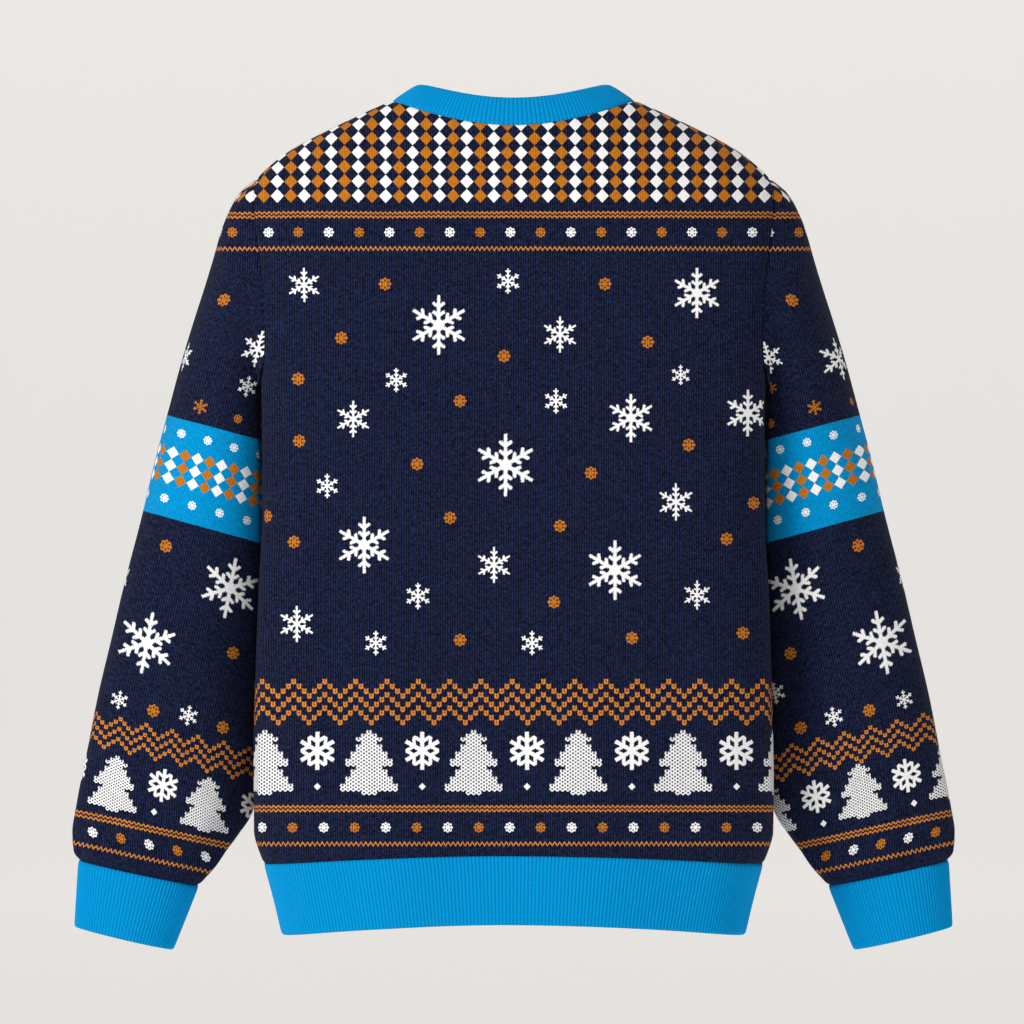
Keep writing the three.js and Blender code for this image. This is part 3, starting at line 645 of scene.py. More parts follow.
def sleeve_points(at, angle):
    ring = {c: curve_at(SLEEVE["ring"], SLEEVE[c], at) for c in SLEEVE}
    points = ring_point(ring, angle)
    first = {c: SLEEVE[c][0] for c in SLEEVE}
    cap = 1 - fade(at, 0, SLEEVE_CAP_RINGS)
    points = points + (armhole_point(angle) - ring_point(first, angle)) * cap[..., None]
    near_cuff = fade(at, LAST_RING - GATHER_RINGS, LAST_RING - 1.2) * fade(LAST_RING - at, 0, 1)
    middle_x = (ring["outer_x"] + ring["inner_x"]) / 2
    away = points - np.stack(np.broadcast_arrays(middle_x, ring["mid_y"], points[..., 2]), -1)
    gather = np.cos(GATHERS * angle + 0.6) + 0.35 * np.cos(21 * angle + 3 * at)
    lift = near_cuff * GATHER_RISE * gather
    folds = SLEEVE_FOLDS
    along = (at[..., None] - folds["ring"]) / folds["rings"]
    turned = angle[..., None] - folds["angle"] - folds["slant"] * (at[..., None] - folds["ring"])
    turned = np.arctan2(np.sin(turned), np.cos(turned)) / folds["turn"]
    lift = lift + (folds["rise"] * np.exp(-along**2 - turned**2)).sum(-1)
    points = points + unit(away) * lift[..., None]
    return clear_of_body(points, SEAM_GAP + SLEEVE_CLEARANCE * fade(at, 0, 2))


# The slant of the sleeve's bands, and the sleeve's middle, by how far down they are
SLEEVE_LEVEL = table("v slant middle", [
    (0, 0, 215), (130, 0, 236), (278, 0.267, 255), (362, 0.274, 266), (530, 0.2305, 297),
    (560, 0.2335, 303), (620, 0.2157, 314), (700, 0.217, 326),
])


CAP_END = 150  # how far down the sleeve's pattern still follows the body's
FRONT_SHIFT_U, FRONT_SHIFT_V = 12, 26  # how far the front's motifs are from the back's mirrored
LEAST_FROM_EDGE = 22  # a motif that is nearer the sleeve's outer line shows from in front already


def sleeve_rows(x, z):
    """How far down the sleeve a point is, along its slanting bands."""
    v = -z
    for _ in range(12):
        slant = np.interp(v, SLEEVE_LEVEL["v"], SLEEVE_LEVEL["slant"])
        v = -z + slant * (x - np.interp(v, SLEEVE_LEVEL["v"], SLEEVE_LEVEL["middle"]))
    return v


def sleeve_as_seen(points):
    middle_y = np.interp(points[..., 2], SLEEVE["outer_z"][::-1], SLEEVE["mid_y"][::-1])
    return as_seen(points, middle_y), points[..., 1] < middle_y


def cap_climb(seen, normals):
    """How much further than is seen the pattern runs up the cap, from under the arm on both sides."""
    steps = np.diff(seen, axis=1)
    half = steps.shape[1] // 2
    from_top = abs(np.arange(-half, half) + 0.5) / half
    extra = over_the_top(steps, normals[:, 1:])[..., 1] * (1 - fade(from_top, 0.12, 0.24))
    back = np.cumsum(extra[:, :half], 1)
    front = np.cumsum(extra[:, :half - 1:-1], 1)[:, ::-1]
    top = (back[:, -1:] + front[:, :1]) / 2
    back = back * top / np.maximum(back[:, -1:], 1e-6)
    front = front * top / np.maximum(front[:, :1], 1e-6)
    none = np.zeros((len(seen), 1))
    return np.concatenate([none, back, front[:, 1:], none], 1)


def sleeve_coords(points, normals, side):
    """Distances across the sleeve's pattern and down it, and the distance across at its outer line.
    On the back of the cap the pattern runs on from the body's and its columns run straight down."""
    seen, _ = sleeve_as_seen(points)
    v = sleeve_rows(seen[..., 0], seen[..., 2])
    v = v - cap_climb(seen, normals)
    levels = np.linspace(v.min(), v.max(), 300)
    columns = range(points.shape[1])
    lines = np.array([[np.interp(levels, v[:, j], seen[:, j, k]) for k in range(3)] for j in columns])
    lines = np.moveaxis(lines, 1, -1)
    widths = pattern_widths(np.diff(lines, axis=0))
    across = np.concatenate([np.zeros((1, len(levels))), np.cumsum(widths, 0)])
    outer_line = points.shape[1] // 2
    across = across - across[outer_line]
    u = np.stack([np.interp(v[:, j], levels, across[j]) for j in columns], 1)
    up_the_seam = slice(outer_line - 1, None, -1)
    seam_v, seam_shift = v[0, up_the_seam], (seen[0, :, 0] - u[0])[up_the_seam]
    outer_u = np.interp(CAP_END, seam_v, seam_shift)
    straight = np.interp(np.minimum(v, CAP_END), seam_v, seam_shift) - outer_u
    round_share = np.linspace(-1, 1, points.shape[1])
    u = u + outer_u + straight * (1 - fade(round_share, -0.2, 0.1))
    if side == "left":
        u, outer_u = u + 2 * YOKE_WHITE_U, outer_u + 2 * YOKE_WHITE_U
    return np.stack([u, v], -1), outer_u


def sleeve_motifs(side, points, coords, outer_u):
    """The sleeve's motifs. Those in the photograph are on its back, and others like them are
    spread over its front."""
    seen, is_back = sleeve_as_seen(points)
    seen, back_coords = seen[is_back], coords[is_back]

    def place(x, y):
        """A pixel's place on the cloth, from a plane through the points that are seen nearest it."""
        across, down = from_photo(x, y)
        away = np.stack([seen[:, 0] - abs(across), -seen[:, 2] - down, np.ones(len(seen))], -1)
        near = np.hypot(away[:, 0], away[:, 1]).argsort()[:12]
        return np.linalg.lstsq(away[near], back_coords[near], rcond=None)[0][2]

    scattered = pattern_motifs(place, [], SLEEVE_FLAKES[side], SLEEVE_DOTS[side], SLEEVE_ORANGE[side])
    front = [
        (2 * outer_u - u + FRONT_SHIFT_U, v - FRONT_SHIFT_V, *rest)
        for u, v, *rest in scattered if outer_u - u > LEAST_FROM_EDGE
    ]
    return pattern_motifs(place, SLEEVE_ROWS_OF[side], [], []) + scattered + front


def cuff_plane():
    slope = np.array([
        CUFF["outer_z"][0] - CUFF["inner_z"][0], 0, CUFF["inner_x"][0] - CUFF["outer_x"][0]
    ])
    return unit(slope)


def in_plane(normals, plane):
    return unit(normals - (normals @ plane)[..., None] * plane)


def sleeve(side):
    at = LAST_RING * edge_steps(SLEEVE_ROWS)[:, None]
    angle = np.linspace(-math.pi, math.pi, SLEEVE_COLUMNS + 1)[None, :]
    at, angle = (np.array(a) for a in np.broadcast_arrays(at, angle))
    outer = sleeve_points(at, angle)
    outer[0, :, 0] += SEAM_GAP
    outer[-1] -= cuff_plane() * SEAM_GAP / 2
    outer[:, -1] = outer[:, 0]
    normals = -grid_normals(outer, True)
    coords, outer_u = sleeve_coords(outer, normals, side)
    motifs = sleeve_motifs(side, outer, coords, outer_u)

    down = along_length(outer, 0)
    edge = np.minimum(down, down[-1:] - down)
    around = along_length(outer, 1)
    under_arm = np.minimum(around, around[:, -1:] - around)
    lift = unevenness(40 * np.cos(angle) + 40 * np.sin(angle), coords[..., 1], 8)
    lift = lift * np.minimum(edge / FLAT_NEAR_SEAM, 1) - roll(edge) - 0.7 * roll(under_arm)
    outer = outer + normals * lift[..., None]
    inward = normals.copy()
    inward[0] = armhole_normal(outer[0], normals[0])
    inward[-1] = in_plane(normals[-1], cuff_plane())
    inner = outer - inward * wall_at(edge)
    outer, inner = on_side(side, outer), on_side(side, inner)
    piece = make_cloth(f"sleeve_cloth_{side}", outer, inner, coords, True, motifs)
    return piece, outer, f"sleeve_{side}"


def on_side(side, points):
    return points * (1 if side == "right" else -1, 1, 1)


# The ribbed bands

BAND_LENGTH = 60  # about how long the hem band and the cuffs are


def rib_profile(columns):
    """How far each column of a ribbed band stands out of the grooves."""
    across = (np.arange(columns + 1) / RIB_STEPS + 0.5) % 1
    return (1 - np.abs(2 * across - 1) ** 2.4) ** 0.8


def band_rows(count):
    """Shares along a band from its free edge (0) to its seam (1), finer where the edge is round."""
    rounded = RIB_THICKNESS / 2 / BAND_LENGTH
    return np.concatenate([np.array([0, 0.12, 0.35, 0.7]) * rounded, np.linspace(rounded, 1, count)])


def rib_count(length, band):
    return 3 * round(length / RIB_PITCH[band] / 3)


def rib_coords(base):
    """Ribs counted across a band, and distances along them."""
    across = np.arange(base.shape[1]) / RIB_STEPS + 0 * base[..., 0]
    return np.stack([across, along_length(base, 0)], -1)


def ribbed(base, normals, free_edge):
    """A ribbed band over a smooth base grid. Its free edge is rounded, and its seam turns in."""
    columns = base.shape[1] - 1
    down = along_length(base, 0)
    from_edge, from_seam = down, down[-1:] - down
    if free_edge == "last":
        from_edge, from_seam = from_seam, from_edge
    ribs = RIB_HEIGHT * rib_profile(columns) * (0.35 + 0.65 * np.clip(from_edge / 2.5, 0, 1))
    half = RIB_THICKNESS / 2
    t = 1 - np.clip(from_edge / half, 0, 1)
    rim = half * (1 - np.sqrt(1 - t * t * 0.96))
    outer = base - normals * (RIB_HEIGHT - ribs + rim + 0.8 * roll(from_seam))[..., None]
    inner = base - normals * (RIB_THICKNESS - 0.5 * (RIB_HEIGHT - ribs) - rim)[..., None]
    return outer, inner


def rib_piece(name, node, base, normals, free_edge="first", side="right"):
    outer, inner = (on_side(side, grid) for grid in ribbed(base, normals, free_edge))
    return make_cloth(name, outer, inner, rib_coords(base), True), base, node


def round_body(columns, point_at):
    """Columns all round the body: the back from left to right, then the front from right to left."""
    half = columns // 2
    shares = 2 * np.arange(half) / half - 1
    back, front = point_at("back", shares), point_at("front", -shares)
    return np.concatenate([back, front, back[:1]])


def hem_band():
    def ring(columns, t):
        def points(side, share):
            low = column_end(side, share, HEM_SIDE_Z, HEM_RISE)
            high = column_end(side, share, SEAM_SIDE_Z, SEAM_RISE) - SEAM_GAP / 2
            return body_point(side, low + t * (high - low), share)
        return round_body(columns, points)

    length = along_length(ring(240, 1)[None], 1)[0, -1]
    columns = 2 * rib_count(length / 2, "hem") * RIB_STEPS
    base = np.stack([ring(columns, t) for t in band_rows(18)])
    normals = grid_normals(base, True)
    normals[..., 2] *= 1 - fade(np.arange(len(base)) / (len(base) - 1), 0.9, 1)[:, None]
    normals[0, :, 2] = 0
    return rib_piece("hem_rib", "hem_band", base, unit(normals))


def cuff(side):
    def ring(columns, t):
        row = {c: CUFF[c][0] + (CUFF[c][1] - CUFF[c][0]) * t for c in CUFF}
        points = ring_point(row, np.linspace(-math.pi, math.pi, columns + 1))
        return points + cuff_plane() * SEAM_GAP / 2 * (1 - t)

    length = along_length(ring(120, 0)[None], 1)[0, -1]
    columns = rib_count(length, "cuff") * RIB_STEPS
    base = np.stack([ring(columns, 1 - t) for t in band_rows(18)])
    base[:, -1] = base[:, 0]
    normals = in_plane(grid_normals(base, True), cuff_plane())
    return rib_piece(f"cuff_rib_{side}", f"cuff_{side}", base, normals, side=side)


def neckband():
    def seam(columns):
        return round_body(columns, lambda side, share: body_point(side, column_top(side, share), share))

    def seam_normals(columns):
        def normal(side, share):
            z = column_top(side, share)
            across = body_point(side, z, share + 0.01) - body_point(side, z, share - 0.01)
            up = body_point(side, z + 1, share) - body_point(side, z - 1, share)
            own = np.cross(across, up) * (1 if side == "back" else -1)
            own[np.abs(share) > 0.999, 1] = 0
            return unit(own)
        return round_body(columns, normal)

    length = along_length(seam(240)[None], 1)[0, -1]
    columns = 2 * rib_count(length / 2, "neck") * RIB_STEPS
    foot = seam(columns)
    rows = 1 - band_rows(14)[::-1]
    at_side = np.clip(np.abs(foot[:, 0]) / NECK_POINT_X, 0, 1) ** 2
    outwards = unit(foot * (1, 1, 0))
    middle, side = NECKBAND_LEAN["middle"], NECKBAND_LEAN["side"]
    base = []
    for t in rows:
        lean = middle + (side - middle) * at_side - NECKBAND_CURL * t * (1 - t)
        rise = np.sqrt(1 - lean**2) * t * NECKBAND_WIDTH
        inwards = lean * t * NECKBAND_WIDTH
        base.append(foot - outwards * inwards[:, None] + rise[:, None] * (0, 0, 1))
    base = np.stack(base)
    own = grid_normals(base, True)
    turn = fade(rows, 0, 0.3)[:, None, None]
    normals = unit(own * turn + seam_normals(columns)[None] * (1 - turn))
    return rib_piece("neck_rib", "neckband", base, normals, "last")


# Materials

def operation(name):
    """A method that feeds a number, and others with it, into one math node."""
    def method(self, *others):
        return self.shader.math(name, self, *others)
    return method


class Number:
    """A number in a material's nodes. Arithmetic with it makes more nodes."""

    __add__ = __radd__ = operation("ADD")
    __sub__ = operation("SUBTRACT")
    __mul__ = __rmul__ = operation("MULTIPLY")
    __truediv__ = operation("DIVIDE")
    __mod__ = operation("FLOORED_MODULO")
    __pow__ = operation("POWER")
    __abs__ = operation("ABSOLUTE")
    floor = operation("FLOOR")
    fraction = operation("FRACT")
    cos = operation("COSINE")
    sin = operation("SINE")
    root = operation("SQRT")
    low = operation("MINIMUM")
    high = operation("MAXIMUM")

    def __init__(self, shader, socket):
        self.shader = shader
        self.socket = socket

    def __rsub__(self, other):
        return self.shader.math("SUBTRACT", other, self)


class Shader:
    """A material and the nodes that it is built from."""

    def __init__(self, name):
        self.material = bpy.data.materials.new(name)
        self.material.use_nodes = True
        self.nodes = self.material.node_tree.nodes
        self.links = self.material.node_tree.links
        self.surface = self.nodes["Principled BSDF"]

    def node(self, kind, **settings):
        made = self.nodes.new(kind)
        for key, value in settings.items():
            setattr(made, key, value)
        return made

    def feed(self, socket, value):
        """Gives a socket a constant, a number or another node's output."""
        value = getattr(value, "socket", value)
        if isinstance(value, bpy.types.NodeSocket):
            self.links.new(value, socket)
        else:
            socket.default_value = value

    def math(self, name, *values):
        made = self.node("ShaderNodeMath", operation=name)
        for socket, value in zip(made.inputs, values):
            self.feed(socket, value)
        return Number(self, made.outputs[0])

    def step(self, low, high, soft=0.0):
        """1 where high is above low, with a soft edge."""
        if not soft:
            return self.math("GREATER_THAN", high, low)
        made = self.node("ShaderNodeMapRange", interpolation_type="SMOOTHSTEP")
        self.feed(made.inputs["Value"], high - low)
        made.inputs["From Min"].default_value = -soft
        made.inputs["From Max"].default_value = soft
        return Number(self, made.outputs["Result"])

    def within(self, value, low, high, soft=0.0):
        """1 between two values and 0 outside them."""
        return self.step(low, value, soft) * self.step(value, high, soft)

    def mix(self, factor, a, b):
        made = self.node("ShaderNodeMix", data_type="RGBA")
        for number, value in ((0, factor), (6, a), (7, b)):
            self.feed(made.inputs[number], value)
        return made.outputs[2]

    def attribute(self, name):
        source = self.node("ShaderNodeAttribute", attribute_name=name)
        split = self.node("ShaderNodeSeparateXYZ")
        self.feed(split.inputs[0], source.outputs["Vector"])
        return [Number(self, socket) for socket in split.outputs]

    def noise(self, scale, detail, place):
        made = self.node("ShaderNodeTexNoise")
        made.inputs["Scale"].default_value = scale
        made.inputs["Detail"].default_value = detail
        self.feed(made.inputs["Vector"], place)
        return Number(self, made.outputs["Fac"])

    def vector(self, x, y):
        made = self.node("ShaderNodeCombineXYZ")
        self.feed(made.inputs["X"], x)
        self.feed(made.inputs["Y"], y)
        return made.outputs[0]


def srgb(red, green, blue):
    """A colour from the photograph's 0 to 255 values."""
    parts = [c / 255 for c in (red, green, blue)]
    return (*[c / 12.92 if c < 0.04045 else ((c + 0.055) / 1.055) ** 2.4 for c in parts], 1)


NAVY = srgb(25, 32, 59)
BLUE = srgb(0, 150, 214)
# The darker blue that the ribbing is painted towards in its grooves and stitch gaps, as painted shade,
# and in its random flecks
BLUE_DEEP = srgb(0, 88, 146)
WHITE = srgb(250, 250, 250)
GOLD = srgb(202, 121, 31)
BRIGHT_GOLD = srgb(221, 138, 52)
INSIDE = srgb(20, 25, 44)

STITCH_U, STITCH_V = 2.04, 1.9  # one stitch of the fine knit
RIB_STITCH_V = 2.1

# How much lighter the navy knit is painted in the middle of its columns and darker between them, as
# painted shade, and how much its tone varies where its yarn is uneven
COLUMN_SHADE = -1.15
YARN_SHADE = 3.2


def stitches(u, v, width, height):
    """Stocking stitch: how high the yarn stands, from 0 in the gaps to 1 on a stitch's legs."""
    across = abs((u / width).fraction() - 0.5)
    leg = 1 - abs(across - 0.24) * 3.6
    down = (v / height + across * 1.2).fraction()
    round_leg = 1 - abs(down * 2 - 1) ** 2.5
    return (leg * (round_leg * 0.5 + 0.5)).high(0.0)


# A snowflake's shape, in shares of its half width: its stroke and its hub, where each branch
# leaves an arm and how long it is, and how far the branches lean off the arm, in degrees
FLAKE_SHAPES = {
    FLAKE: (0.058, 0.17, ((0.31, 0.2), (0.60, 0.2)), 53),
    MIDDLE_FLAKE: (0.058, 0.13, ((0.31, 0.18), (0.60, 0.18)), 53),
    SMALL_FLAKE: (0.066, 0.0, ((0.34, 0.17), (0.68, 0.19)), 53),
    ICON: (0.092, 0.0, ((0.48, 0.5),), 58),
}


def flake_mask(s, along, aside, stroke, hub, branches, lean):
    """One arm of a snowflake, folded onto all six. along and aside are distances along and beside
    the arm."""
    mask = s.step(aside, stroke * 1.1 - along * (stroke * 0.25), 0.02) * s.step(along, 0.99, 0.02)
    if hub:
        mask = mask.high(s.step(along, hub, 0.02))
    cos, sin = math.cos(math.radians(lean)), math.sin(math.radians(lean))
    for start, length in branches:
        outwards = along - start
        beside = aside * cos - outwards * sin
        past = (outwards * cos + aside * sin - length).high(0.0)
        distance = (beside * beside + past * past).root()
        mask = mask.high(s.step(distance, stroke * 0.95, 0.02))
    return mask


def dot_mask(s, radius, turn):
    """A little round flower with a ring of dark specks between its middle and its petals."""
    petals = (turn * 8).cos() * 0.1 + 0.9
    ring = s.step(abs(radius - 0.52), 0.17, 0.06)
    specks = ring * s.step(0.1, (turn * 6).cos(), 0.3)
    return s.step(radius, petals, 0.05) * (1 - specks * 0.85)


# A tree's tiers and its trunk: how far down each starts and ends, as shares of the tree's height,
# and half its width there, as shares of the tree's half width
TREE_TIERS = [
    (0.0, 0.18, 0.03, 0.53), (0.18, 0.56, 0.27, 0.85), (0.56, 0.94, 0.42, 1.02), (0.94, 1.0, 0.3, 0.3),
]
TREE_STITCHES = (5.9, 18)  # in half the tree's width and in its height


def tree_mask(s, x, y):
    """A tree of three tiers, worked in large stitches with the ground showing between them."""
    columns, rows = TREE_STITCHES
    column = x * columns + 0.5
    across = abs(column.fraction() - 0.5)
    level = (1 - y) * (rows / 2)
    middle_x = abs(column.floor() / columns)
    middle_y = ((level + across).floor() + 0.3) / rows
    inside = 0.0
    for top, bottom, narrow, wide in TREE_TIERS:
        edge = (middle_y - top) * ((wide - narrow) / (bottom - top)) + narrow
        inside = (s.within(middle_y, top, bottom) * s.step(middle_x, edge)).high(inside)
    between_legs = s.step(across, 0.19, 0.06) * s.step(level.fraction(), 0.5, 0.12)
    half_down = (level + 0.5).fraction()
    between_stitches = s.step(0.34, across, 0.06) * s.step(half_down, 0.5, 0.12)
    return inside * (1 - between_legs.high(between_stitches) * 0.9)


def motif_mask(s, rough):
    """The scattered and repeated motifs. Returns where they are, and where they are orange."""
    x, y, kind = s.attribute("motif")
    shape = (kind + 0.01).floor()
    orange = s.step(0.25, kind - shape)
    fuzzy_x, fuzzy_y = x + rough, y + rough
    radius = (fuzzy_x * fuzzy_x + fuzzy_y * fuzzy_y).root()
    turn = s.math("ARCTAN2", fuzzy_x, fuzzy_y)
    sixth = math.pi / 3
    folded = abs((turn + sixth / 2) % sixth - sixth / 2)
    along, aside = radius * folded.cos(), radius * folded.sin()

    masks = {flake: flake_mask(s, along, aside, *FLAKE_SHAPES[flake]) for flake in FLAKE_SHAPES}
    arms = s.step(aside, 0.105, 0.02) * s.step(along, 1.0, 0.02)
    masks[ICON] = (masks[ICON] * s.step(radius, 0.88, 0.02)).high(arms)
    masks[DOT] = dot_mask(s, radius, turn)
    masks[DIAMOND] = s.step(abs(x) + abs(y), 1.0, 0.05)
    masks[TREE] = tree_mask(s, x, y)
    mask = 0.0
    for number, own in masks.items():
        mask = (s.math("COMPARE", shape, number, 0.1) * own).high(mask)
    return mask, orange


# The thin zigzags: their period, half the gap between a chain's two, and each kind's height and
# half stroke
ZIGZAG_PERIOD = 4.05
CHAIN_HALF_GAP = 1.6
CHAIN_LINE = (1.9, 0.72)
ZIGZAG_LINE = (3.0, 0.8)


def zigzag_line(s, u, v, middle, height, stroke):
    """A thin zigzag along a line down the cloth."""
    wave = abs((u / ZIGZAG_PERIOD).fraction() * 2 - 1)
    return s.step(abs(v - ((wave - 0.5) * height + middle)), stroke, 0.3)


def steps_mask(s, u, v, bands):
    """Three parallel zigzags of single stitches, each a step to the side and up or down."""
    across = (u + bands["steps_shift"]) / bands["step_u"]
    rise = 3 - abs(across.floor() % 6.0 - 3)
    side = abs(across.fraction() - 0.5)
    mask = 0.0
    for line in range(3):
        top = bands["steps_top"] + line * bands["steps_apart"]
        down = (v - top) / bands["step_v"] + side * 0.5 - rise
        stitch = s.within(down, 0.13, 1.17, 0.08) * s.step(side, 0.435, 0.05)
        notch = s.step(side, 0.13, 0.05) * s.within(down, 0.35, 0.75, 0.08)
        mask = (stitch * (1 - notch * 0.7)).high(mask)
    return mask


def diamonds(s, column, row):
    """Diamonds that touch at their corners, white and orange in turn across."""
    reach = abs(column.fraction() - 0.5) + abs(row.fraction() - 0.5)
    diamond = s.step(reach, 0.485, 0.025)
    odd = s.step(0.5, column.floor() % 2.0)
    return diamond * (1 - odd), diamond * odd


def band_masks(s, u, v, bands):
    """The white, the orange and the brighter orange of the bands that are drawn right round."""
    yoke = s.step(v, bands["yoke_row"] + YOKE_V / 2)
    column = (u - (YOKE_WHITE_U - YOKE_U / 2)) / YOKE_U
    row = (v - (bands["yoke_row"] - YOKE_V / 2)) / YOKE_V
    white, orange = (yoke * part for part in diamonds(s, column, row))
    lines = [(middle - CHAIN_HALF_GAP, *CHAIN_LINE) for middle in bands["chains"]]
    lines += [(middle + CHAIN_HALF_GAP, *CHAIN_LINE) for middle in bands["chains"]]
    lines += [(middle, *ZIGZAG_LINE) for middle in bands["zigzags"]]
    bright = steps_mask(s, u, v, bands)
    for line in lines:
        bright = bright.high(zigzag_line(s, u, v, *line))
    return white, orange, bright


def armband_masks(s, u, v, bands):
    """The blue band, and the white and orange diamonds in it."""
    top, bottom = bands["armband"]
    column = (u + bands["diamond_shift"]) / bands["diamond_u"]
    row = (v - (top + bands["diamonds_top"])) / bands["diamond_v"]
    inside = s.within(row, 0.0, 3.0)
    white, orange = (inside * part for part in diamonds(s, column, row))
    return s.within(v, top, bottom, 0.4), white, orange


def knit_material(name, bands):
    """The fine knit of the body or the sleeves with its colour work, and with painted shade between its
    stitches and its columns.
    """
    s = Shader(name)
    u, v, inside = s.attribute("cloth")
    place = s.vector(u, v)
    rough = s.noise(0.8, 1.0, place) - 0.5
    pattern_u, pattern_v = u + rough * 0.7, v + rough * 0.7
    white, orange, bright = band_masks(s, pattern_u, pattern_v, bands)
    ground, blue = NAVY, 0.0
    if "armband" in bands:
        blue, band_white, band_orange = armband_masks(s, pattern_u, pattern_v, bands)
        white = white.high(band_white)
        orange = orange.high(band_orange)
        ground = s.mix(blue, NAVY, BLUE)
    motif, motif_orange = motif_mask(s, rough * 0.06)
    white = white.high(motif * (1 - motif_orange))
    orange = orange.high(motif * motif_orange).high(bright)
    gold = s.mix(bright, GOLD, BRIGHT_GOLD)
    colour = s.mix(white, s.mix(orange, ground, gold), WHITE)

    # Painted shade: the navy is painted darker in the gaps between the stitches' legs and between the
    # columns, and its tone varies at random where the yarn is uneven. The colour work takes little of
    # this shade.
    height = stitches(u, v, STITCH_U, STITCH_V)
    column = (u * (2 * math.pi / STITCH_U)).cos() * 0.5
    yarn = s.noise(1.0, 2.0, s.vector((u / STITCH_U).floor() * 5.3, v * 0.4)) - 0.5
    grain = s.noise(1.5, 2.0, place) - 0.5
    painted_shade_and_tone = (height * 0.6 + 0.5 + column * COLUMN_SHADE + (yarn + grain) * YARN_SHADE).high(0.1)
    paint = (white * 0.93).high(orange * 0.75).high(blue * 0.75)
    lit = s.node("ShaderNodeVectorMath", operation="SCALE")
    s.feed(lit.inputs[0], colour)
    s.feed(lit.inputs["Scale"], painted_shade_and_tone * (1 - paint) + paint * (white * 0.1 + 0.9))
    s.feed(s.surface.inputs["Base Color"], s.mix(s.step(0.5, inside), lit.outputs[0], INSIDE))
    cloth_finish(s, height, place, 0.4)
    return s.material


def rib_material():
    """The blue ribbing, with painted shade in its grooves and in the gaps between its stitches."""
    s = Shader("blue_rib_knit")
    u, v, _ = s.attribute("cloth")
    place = s.vector(u * RIB_PITCH["hem"], v)
    # Painted shade: the blue is painted darker in the grooves between the ribs and in the gaps between
    # stitches. The flecks are random tone.
    painted_groove_shade = 1 - s.step(0.16, abs(u.fraction() - 0.5), 0.12)
    height = stitches(u, v, 1.0, RIB_STITCH_V)
    fleck = s.noise(0.9, 3.0, place)
    shade = height * 0.31 + (fleck * 1.3 + 0.19) - painted_groove_shade * 0.48
    s.feed(s.surface.inputs["Base Color"], s.mix(shade.high(0.0).low(1.0), BLUE_DEEP, BLUE))
    cloth_finish(s, height, place, 0.25)
    return s.material


def cloth_finish(s, height, place, relief):
    """What every knit here shares: a matt surface with a soft sheen, and a fuzzy, stitched relief."""
    s.surface.inputs["Roughness"].default_value = 0.95
    s.surface.inputs["Specular IOR Level"].default_value = 0.05
    s.surface.inputs["Sheen Weight"].default_value = 0.02
    s.surface.inputs["Sheen Roughness"].default_value = 0.5
    bump = s.node("ShaderNodeBump")
    bump.inputs["Strength"].default_value = relief
    bump.inputs["Distance"].default_value = 0.0006
    s.feed(bump.inputs["Height"], height + s.noise(2.6, 2.0, place) * 0.5)
    s.feed(s.surface.inputs["Normal"], bump.outputs["Normal"])


# Assembly

body_knit = knit_material("navy_knit_body", BODY_BANDS)
sleeve_knit = {
    side: knit_material(f"navy_knit_sleeve_{side}", {**SLEEVE_BANDS, **SIDE_BANDS[side]})
    for side in ("left", "right")
}
ribbing = rib_material()

made = [
    (panel("back"), body_knit, "navy_knit"),
    (panel("front"), body_knit, "navy_knit"),
    (sleeve("right"), sleeve_knit["right"], "navy_knit"),
    (sleeve("left"), sleeve_knit["left"], "navy_knit"),
    (neckband(), ribbing, "blue_rib"),
    (hem_band(), ribbing, "blue_rib"),
    (cuff("right"), ribbing, "blue_rib"),
    (cuff("left"), ribbing, "blue_rib"),
]
for (piece, surface, node), material, slot in made:
    piece.data.materials.append(material)
    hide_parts(node)
    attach(piece, "root")
    width = along_length(surface, 1)[:, -1].max() * MM
    length = along_length(surface, 0)[-1].max() * MM
    min(grid_area(surface), width * length)


# Studio, in metres: a paper floor that bends up into a wall well behind the sweater

FLOOR_Z = -1.25
FLOOR_FRONT_Y = -12.0
FLOOR_HALF_WIDTH = 14.0
WALL_Y = 13.0
WALL_TOP_Z = 12.0
BEND_RADIUS = 2.4


def camera():
    data = bpy.data.cameras.new("camera")
    data.angle = 2 * math.atan(PHOTO_HALF * PHOTO_SCALE / CAMERA_DISTANCE)
    made = bpy.data.objects.new("camera", data)
    made.location = (FRAME_MIDDLE_X * MM, -CAMERA_DISTANCE * MM, FRAME_MIDDLE_Z * MM)
    made.rotation_euler = (math.pi / 2, 0, 0)
    bpy.context.scene.collection.objects.link(made)
    bpy.context.scene.camera = made


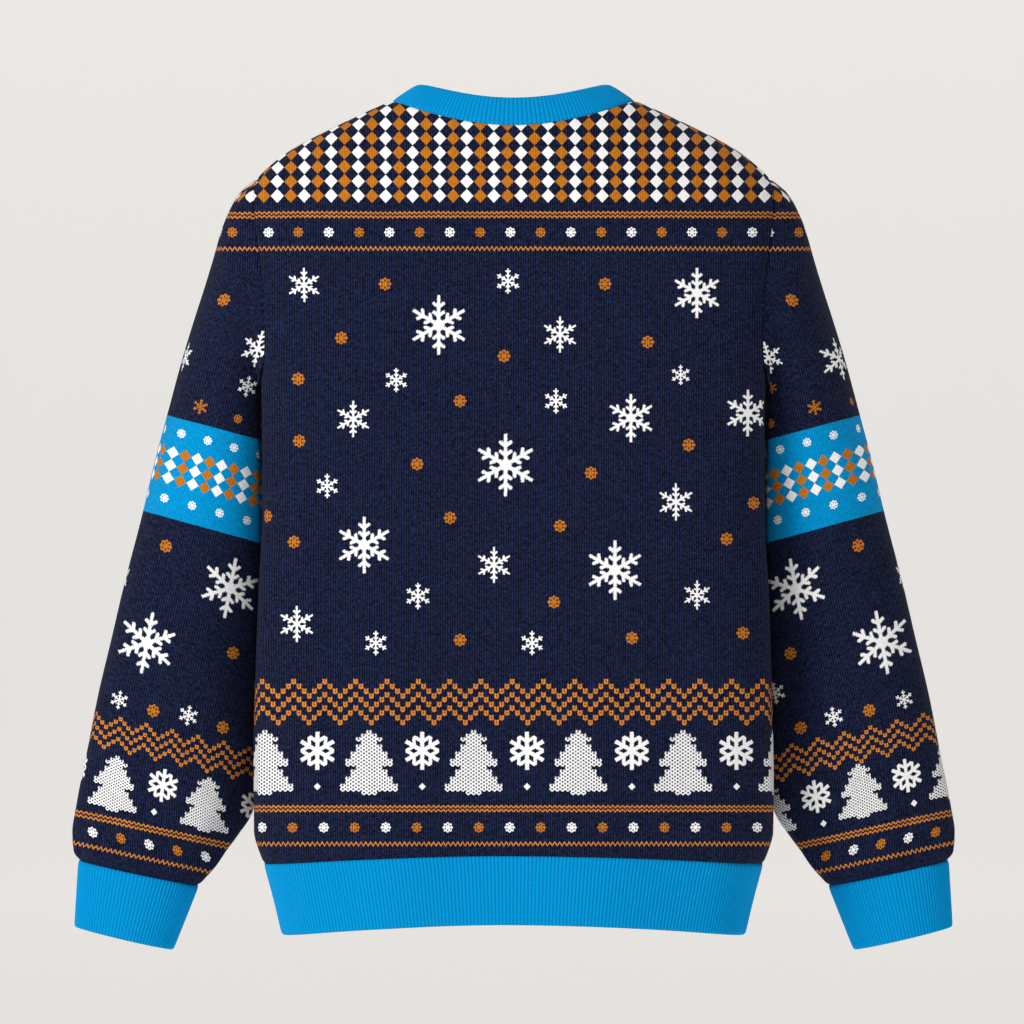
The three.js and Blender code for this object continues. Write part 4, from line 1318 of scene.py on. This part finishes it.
def area_light(name, place, target, size, power):
    data = bpy.data.lights.new(name, "AREA")
    data.shape = "DISK"
    data.size = size
    data.energy = power
    made = bpy.data.objects.new(name, data)
    made.location = place
    made.rotation_euler = (Vector(target) - Vector(place)).to_track_quat("-Z", "Y").to_euler()
    bpy.context.scene.collection.objects.link(made)


def backdrop():
    mesh = bpy.data.meshes.new("studio_floor")
    bend_y, bend_z = WALL_Y - BEND_RADIUS, FLOOR_Z + BEND_RADIUS
    rows = [(FLOOR_FRONT_Y, FLOOR_Z), (bend_y, FLOOR_Z)]
    for angle in np.linspace(0, math.pi / 2, 12)[1:]:
        rows.append((bend_y + BEND_RADIUS * math.sin(angle), bend_z - BEND_RADIUS * math.cos(angle)))
    rows.append((WALL_Y, WALL_TOP_Z))
    points = [(x, y, z) for y, z in rows for x in (-FLOOR_HALF_WIDTH, FLOOR_HALF_WIDTH)]
    faces = [(2 * i, 2 * i + 1, 2 * i + 3, 2 * i + 2) for i in range(len(rows) - 1)]
    mesh.from_pydata(points, [], faces)
    mesh.shade_smooth()
    floor = bpy.data.objects.new("studio_floor", mesh)
    s = Shader("studio_paper")
    s.surface.inputs["Base Color"].default_value = srgb(236, 234, 231)
    s.surface.inputs["Roughness"].default_value = 1.0
    s.surface.inputs["Specular IOR Level"].default_value = 0.0
    s.surface.inputs["Emission Color"].default_value = (1, 0.985, 0.97, 1)
    s.surface.inputs["Emission Strength"].default_value = 0.35
    mesh.materials.append(s.material)
    bpy.context.scene.collection.objects.link(floor)


camera()
backdrop()
area_light("key", (-3.0, -3.2, 2.0), (0, 0, -0.35), 2.0, 160)
area_light("fill", (3.0, -3.8, 0.4), (0, 0, -0.35), 3.0, 23)
area_light("front", (0.6, 2.6, 1.6), (0, 0, -0.3), 2.0, 16)
world = bpy.data.worlds.new("studio")
world.use_nodes = True
world.node_tree.nodes["Background"].inputs["Color"].default_value = (1, 0.99, 0.975, 1)
world.node_tree.nodes["Background"].inputs["Strength"].default_value = 0.36
bpy.context.scene.world = world
bpy.context.scene.view_settings.view_transform = "Standard"
